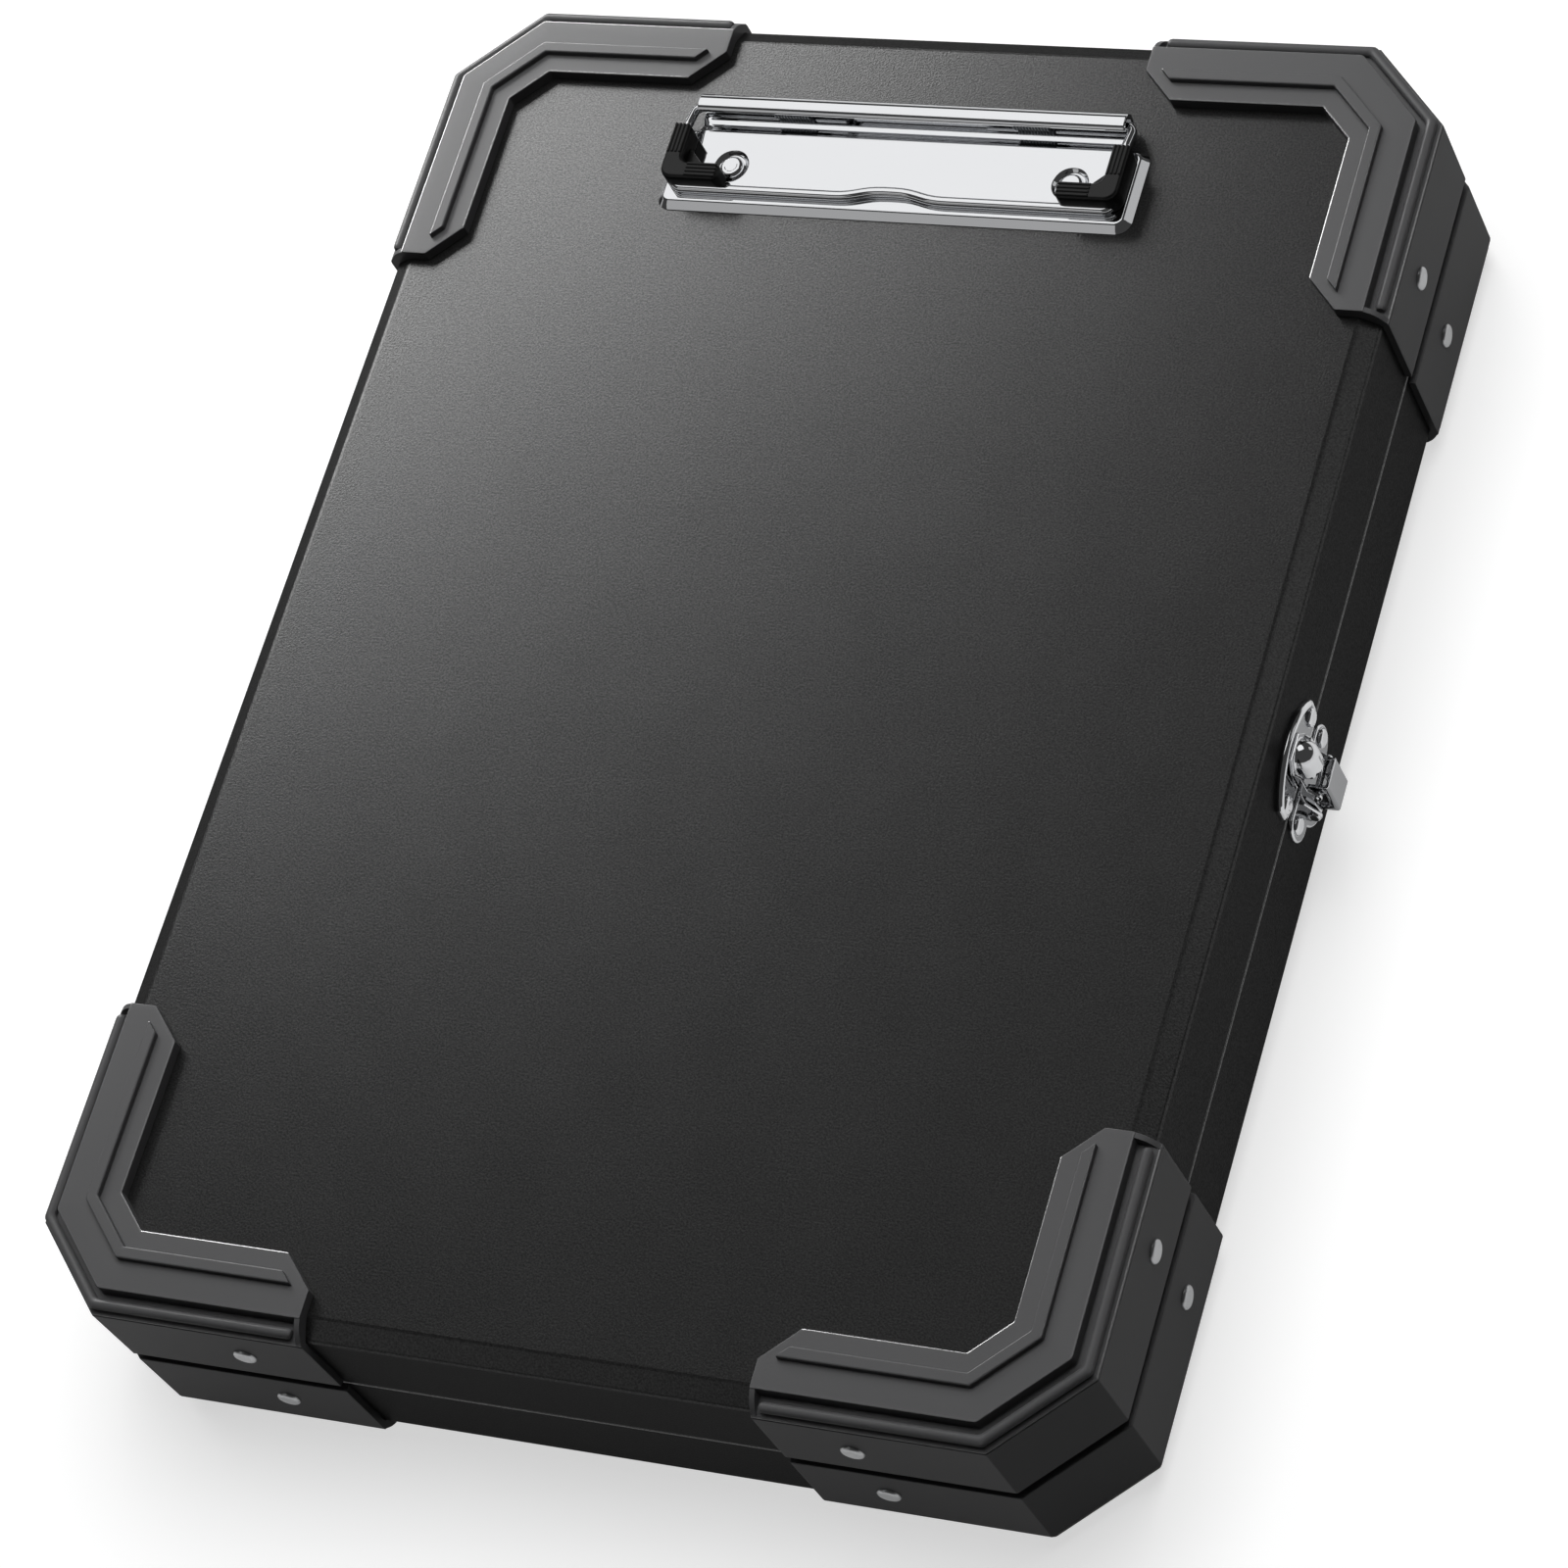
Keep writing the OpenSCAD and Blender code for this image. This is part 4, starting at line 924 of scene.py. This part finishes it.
def build_hasp(bm):
    """Hollow domed head on a flange, with two wings that reach down to the pivots."""
    flange = [(-5.2, 2.8), (5.2, 2.8), (5.2, 8.5), (3.2, 11.8), (-3.2, 11.8), (-5.2, 8.5)]
    centre = (0, 7)
    angles = sorted([math.atan2(y - centre[1], x) for x, y in flange] +
                    [math.radians(k * 8 - 178) for k in range(45)])
    r, hollow, low, back, rise = 3.6, 2.8, 3.2, 1.35, 3
    # from the dome's top down to the flange, round its edge, and up inside the dome
    stages = []
    for k in (85, 75, 64, 53, 42, 31, 20, 10, 0):
        t = math.radians(k)
        stages.append((rise + r * math.sin(t), tombstone(r * math.cos(t), low + k * k / 16000)))
    stages += [(2.6, tombstone(r + 0.03, low)), (2.3, tombstone(r + 0.15, low - 0.1)),
               (2.15, tombstone(r + 0.4, low - 0.2)), (2.15, drawn_in(flange, 0.12)),
               (2.1, drawn_in(flange, 0.03)), (2.0, flange), (back + 0.12, flange),
               (back, drawn_in(flange, 0.12)), (back, tombstone(hollow, low + 0.8))]
    for k in (0, 20, 40, 60, 80):
        t = math.radians(k)
        stages.append((rise + hollow * math.sin(t), tombstone(hollow * math.cos(t), low + 0.8)))
    # bright but for the flange's flat face, which is band 11, and the hollow
    skin(bm, [[on_wall(u, *p) for p in cut_by(plan, centre, angles)] for u, plan in stages],
         bright=[n for n in range(17) if n != 11])
    wing = ([(1.4, 8.4), (2.4, 7.9), (3.3, 7), (3.3, 1.0)] + arc(LEVER_PIN, 1.5, 80, -80) +
            [(3.6, -4.6)] + arc(HASP_PIN, 1.25, 20, -180) + [(1.35, -7)])
    for low in (4.4, -5.2):
        slab(bm, wing, low, low + 0.8, sideways, bright=EDGES)


def build_lever(bm):
    """Folded channel with a lip across its foot; the slots in its side walls are cut afterwards with
    slot_tool.
    """
    half, inside, face, foot, web = 3.9, 3.1, 7.7, 2.8, 6.9
    section = rounded([(5, half), (face, half), (face, -half), (foot, -half), (foot, -inside),
                       (web, -inside), (web, inside), (foot, inside), (foot, half), (5, half)],
                      [0, 0.6, 0.6, 0, 0, 0.2, 0.2, 0, 0, 0])[:-1]
    slab(bm, section, -9.6, 0.8, on_wall, 0.14, ROUNDED)
    slab(bm, [(5.3, -3.2), (7.3, -3.2), (7.3, 3.2), (5.3, 3.2)], -9.5, -8.8, on_wall, 0.1)


def slot_tool(bm):
    """What the slots in the lever's side walls leave out."""
    outline = arc((4.1, -6), 0.7, 90, 270) + arc((5.5, -6), 0.7, -90, 90)
    skin(bm, [[on_wall(u, v, m) for u, m in outline] for v in (-6, 6)])


def build_hasp_pivots(bm):
    """Two shouldered rivets, headed outside the ears."""
    for hand in (-1, 1):
        outline = ((0.9, 4.3), (0.9, 6.3), (1.5, 6.3), (1.5, 6.6), (1.36, 6.8), (1.0, 6.9))
        spun(bm, [(r, v * hand) for r, v in outline],
             lambda a, b, v: on_wall(HASP_PIN[0] + a, v, HASP_PIN[1] + b))


def build_lever_pin(bm):
    """Pin with chamfered ends through the wings and the lever."""
    end = 5.45
    spun(bm, [(0.55, -end), (0.8, 0.25 - end), (0.8, end - 0.25), (0.55, end)],
         lambda a, b, v: on_wall(LEVER_PIN[0] + a, v, LEVER_PIN[1] + b))


class CLIPBOARD_OT_latch(bpy.types.Operator):
    """Build the latch: keeper, base plate, hasp, flip lever and pivots"""
    bl_idname = "clipboard.latch"
    bl_label = "Latch"

    def execute(self, context):
        for node, name, build, body in (
                ("latch_keeper", "latch_pressed_keeper", build_keeper, "lid"),
                ("latch_base", "latch_pressed_base", build_latch_base, "base"),
                ("latch_hasp", "latch_domed_hasp", build_hasp, "latch_hasp_body"),
                ("latch_lever", "latch_folded_lever", build_lever, "latch_lever_body"),
                ("latch_hasp_pivots", "latch_hasp_pivot_heads", build_hasp_pivots, "base"),
                ("latch_lever_pin", "latch_lever_pivot", build_lever_pin, "latch_hasp_body")):
            pin = node in ("latch_hasp_pivots", "latch_lever_pin")
            # the latch's flat faces get the darkened nickel as painted shade; pins and edges get the bright
            # nickel
            obj = piece(name, build, "nickel" if pin else "nickel_painted_shade", 35, second="nickel")
            if node == "latch_lever":
                tool = piece("slot_tool", slot_tool, "nickel_painted_shade")
                cut = obj.modifiers.new("slots", "BOOLEAN")
                cut.object, cut.operation, cut.solver = tool, "DIFFERENCE", "EXACT"
                plain(obj)
                bpy.data.objects.remove(tool)
            claim(obj, body, "pin_steel" if pin else "bright_plate", node)
        return {"FINISHED"}


# ------------------------------------------------------------------ stage


class CLIPBOARD_OT_stage(bpy.types.Operator):
    """Build the floor, lamps, world and camera"""
    bl_idname = "clipboard.stage"
    bl_label = "Stage"

    def execute(self, context):
        scene = context.scene
        bm = bmesh.new()
        bmesh.ops.create_grid(bm, x_segments=1, y_segments=1, size=4.0)
        mesh = bpy.data.meshes.new("floor")
        bm.to_mesh(mesh)
        bm.free()
        floor = bpy.data.objects.new("floor", mesh)
        scene.collection.objects.link(floor)
        m, t, out = blank("pale_floor")
        rays = add(t, "ShaderNodeLightPath").outputs
        # the floor's white lift: 0.62 to the camera, and 0.3 in metal
        seen = add(t, "ShaderNodeMath", {0: rays["Is Glossy Ray"], 1: rays["Is Transmission Ray"]},
                   operation="MAXIMUM")
        seen = add(t, "ShaderNodeMath", {0: seen.outputs[0], 1: 0.3}, operation="MULTIPLY")
        lift = add(t, "ShaderNodeMath", {0: rays["Is Camera Ray"], 1: 0.62}, operation="MULTIPLY_ADD")
        t.links.new(seen.outputs[0], lift.inputs[2])
        # the floor throws little light back at the object's sides
        pale = add(t, "ShaderNodeMix", {
            "Factor": rays["Is Diffuse Ray"], 6: linear("c6c6c6"), 7: linear("707070")}, data_type="RGBA")
        surface = add(t, "ShaderNodeBsdfPrincipled", {
            "Base Color": pale.outputs[2], "Roughness": 0.9, "Specular IOR Level": 0.0,
            "Emission Color": linear("ffffff"), "Emission Strength": lift.outputs[0]})
        t.links.new(surface.outputs["BSDF"], out.inputs["Surface"])
        mesh.materials.append(m)
        world = bpy.data.worlds.new("studio")
        world.use_nodes = True
        t = world.node_tree
        t.nodes.clear()
        wout = add(t, "ShaderNodeOutputWorld")
        up = add(t, "ShaderNodeSeparateXYZ", {0: add(t, "ShaderNodeTexCoord").outputs["Generated"]})
        level = add(t, "ShaderNodeMapRange", {
            "Value": up.outputs["Z"], "From Min": 0.03, "From Max": 0.2, "To Min": 0.8, "To Max": 0.05},
            interpolation_type="SMOOTHSTEP")
        # gloss sees the pale studio wall low down; matt surfaces get little light from the sides
        rays = add(t, "ShaderNodeLightPath").outputs
        side = add(t, "ShaderNodeMath", {0: rays["Is Diffuse Ray"], 1: -0.85}, operation="MULTIPLY_ADD")
        side.inputs[2].default_value = 1.0
        level = add(t, "ShaderNodeMath", {0: level.outputs["Result"], 1: side.outputs[0]},
                    operation="MULTIPLY")
        back = add(t, "ShaderNodeBackground", {"Color": linear("ffffff"), "Strength": level.outputs[0]})
        t.links.new(back.outputs[0], wout.inputs["Surface"])
        scene.world = world
        # name, place, size, radiance, lights matt surfaces, shows in gloss, only on this group
        for name, place, size, glow, matt, gloss, only in (
                ("overhead", (-0.6, 0.6, 1.35), 1.7, 1.0, True, False, ""),
                ("overhead_gloss", (-0.57, 0.57, 1.28), 1.62, 1.0, False, True, "others"),
                ("sheen", (-0.56, 0.53, 0.41), 0.54, 11.4, False, True, "case"),
                ("guard_sheen", (-0.56, 0.53, 0.41), 0.54, 32.5, False, True, "guard"),
                ("rim", (0.78, 0.47, 0.79), 0.4, 0.8, False, True, "case"),
                ("guard_rim", (0.78, 0.47, 0.79), 0.4, 7.0, False, True, "guard"),
                ("front_card", (-0.37, -0.57, 0.5), 0.4, 0.38, False, True, ""),
                ("side_card", (0.7, 0.56, 0.43), 0.3, 0.48, False, True, ""),
                ("fill", (0.1, 0.6, 1.8), 1.6, 3.4, True, False, "")):
            lamp = bpy.data.lights.new(name, "AREA")
            lamp.shape = "SQUARE"
            lamp.size = size
            lamp.energy = glow * math.pi * size ** 2
            obj = bpy.data.objects.new(name, lamp)
            obj.location = place
            obj.rotation_euler = (Vector((0, 0, 0)) - Vector(place)).to_track_quat("-Z", "Y").to_euler()
            obj.visible_diffuse, obj.visible_glossy = matt, gloss
            if only:
                obj.light_linking.receiver_collection = lit_alone(only)
            scene.collection.objects.link(obj)
        cam = bpy.data.cameras.new("camera")
        cam.sensor_width = 36
        cam.lens = CAMERA_LENS
        cam.clip_end = 20
        eye = bpy.data.objects.new("camera", cam)
        turn = Euler([math.radians(a) for a in CAMERA_TURN]).to_matrix()
        eye.matrix_world = Matrix.Translation(CAMERA_PLACE) @ turn.to_4x4()
        scene.collection.objects.link(eye)
        scene.camera = eye
        scene.view_settings.view_transform = "Standard"
        return {"FINISHED"}


class CLIPBOARD_PT_panel(bpy.types.Panel):
    bl_label = "Clipboard box"
    bl_idname = "CLIPBOARD_PT_panel"
    bl_space_type = "VIEW_3D"
    bl_region_type = "UI"
    bl_category = "Clipboard box"

    def draw(self, context):
        for op in OPERATORS:
            self.layout.operator(op.bl_idname)


SETTINGS = {"case_settings": CaseSettings, "guard_settings": GuardSettings,
            "metal_settings": MetalSettings}
OPERATORS = (CLIPBOARD_OT_stage, CLIPBOARD_OT_case, CLIPBOARD_OT_guards, CLIPBOARD_OT_rivets,
             CLIPBOARD_OT_hinge, CLIPBOARD_OT_clip, CLIPBOARD_OT_latch)
CLASSES = tuple(SETTINGS.values()) + OPERATORS + (CLIPBOARD_PT_panel,)


def register():
    for c in CLASSES:
        bpy.utils.register_class(c)
    for name, group in SETTINGS.items():
        setattr(bpy.types.Scene, name, PointerProperty(type=group))


def unregister():
    for name in SETTINGS:
        delattr(bpy.types.Scene, name)
    for c in reversed(CLASSES):
        bpy.utils.unregister_class(c)


def main():
    """Builds everything."""
    register()
    for op in OPERATORS:
        getattr(bpy.ops.clipboard, op.bl_idname.split(".")[1])()


if __name__ == "__main__":
    main()
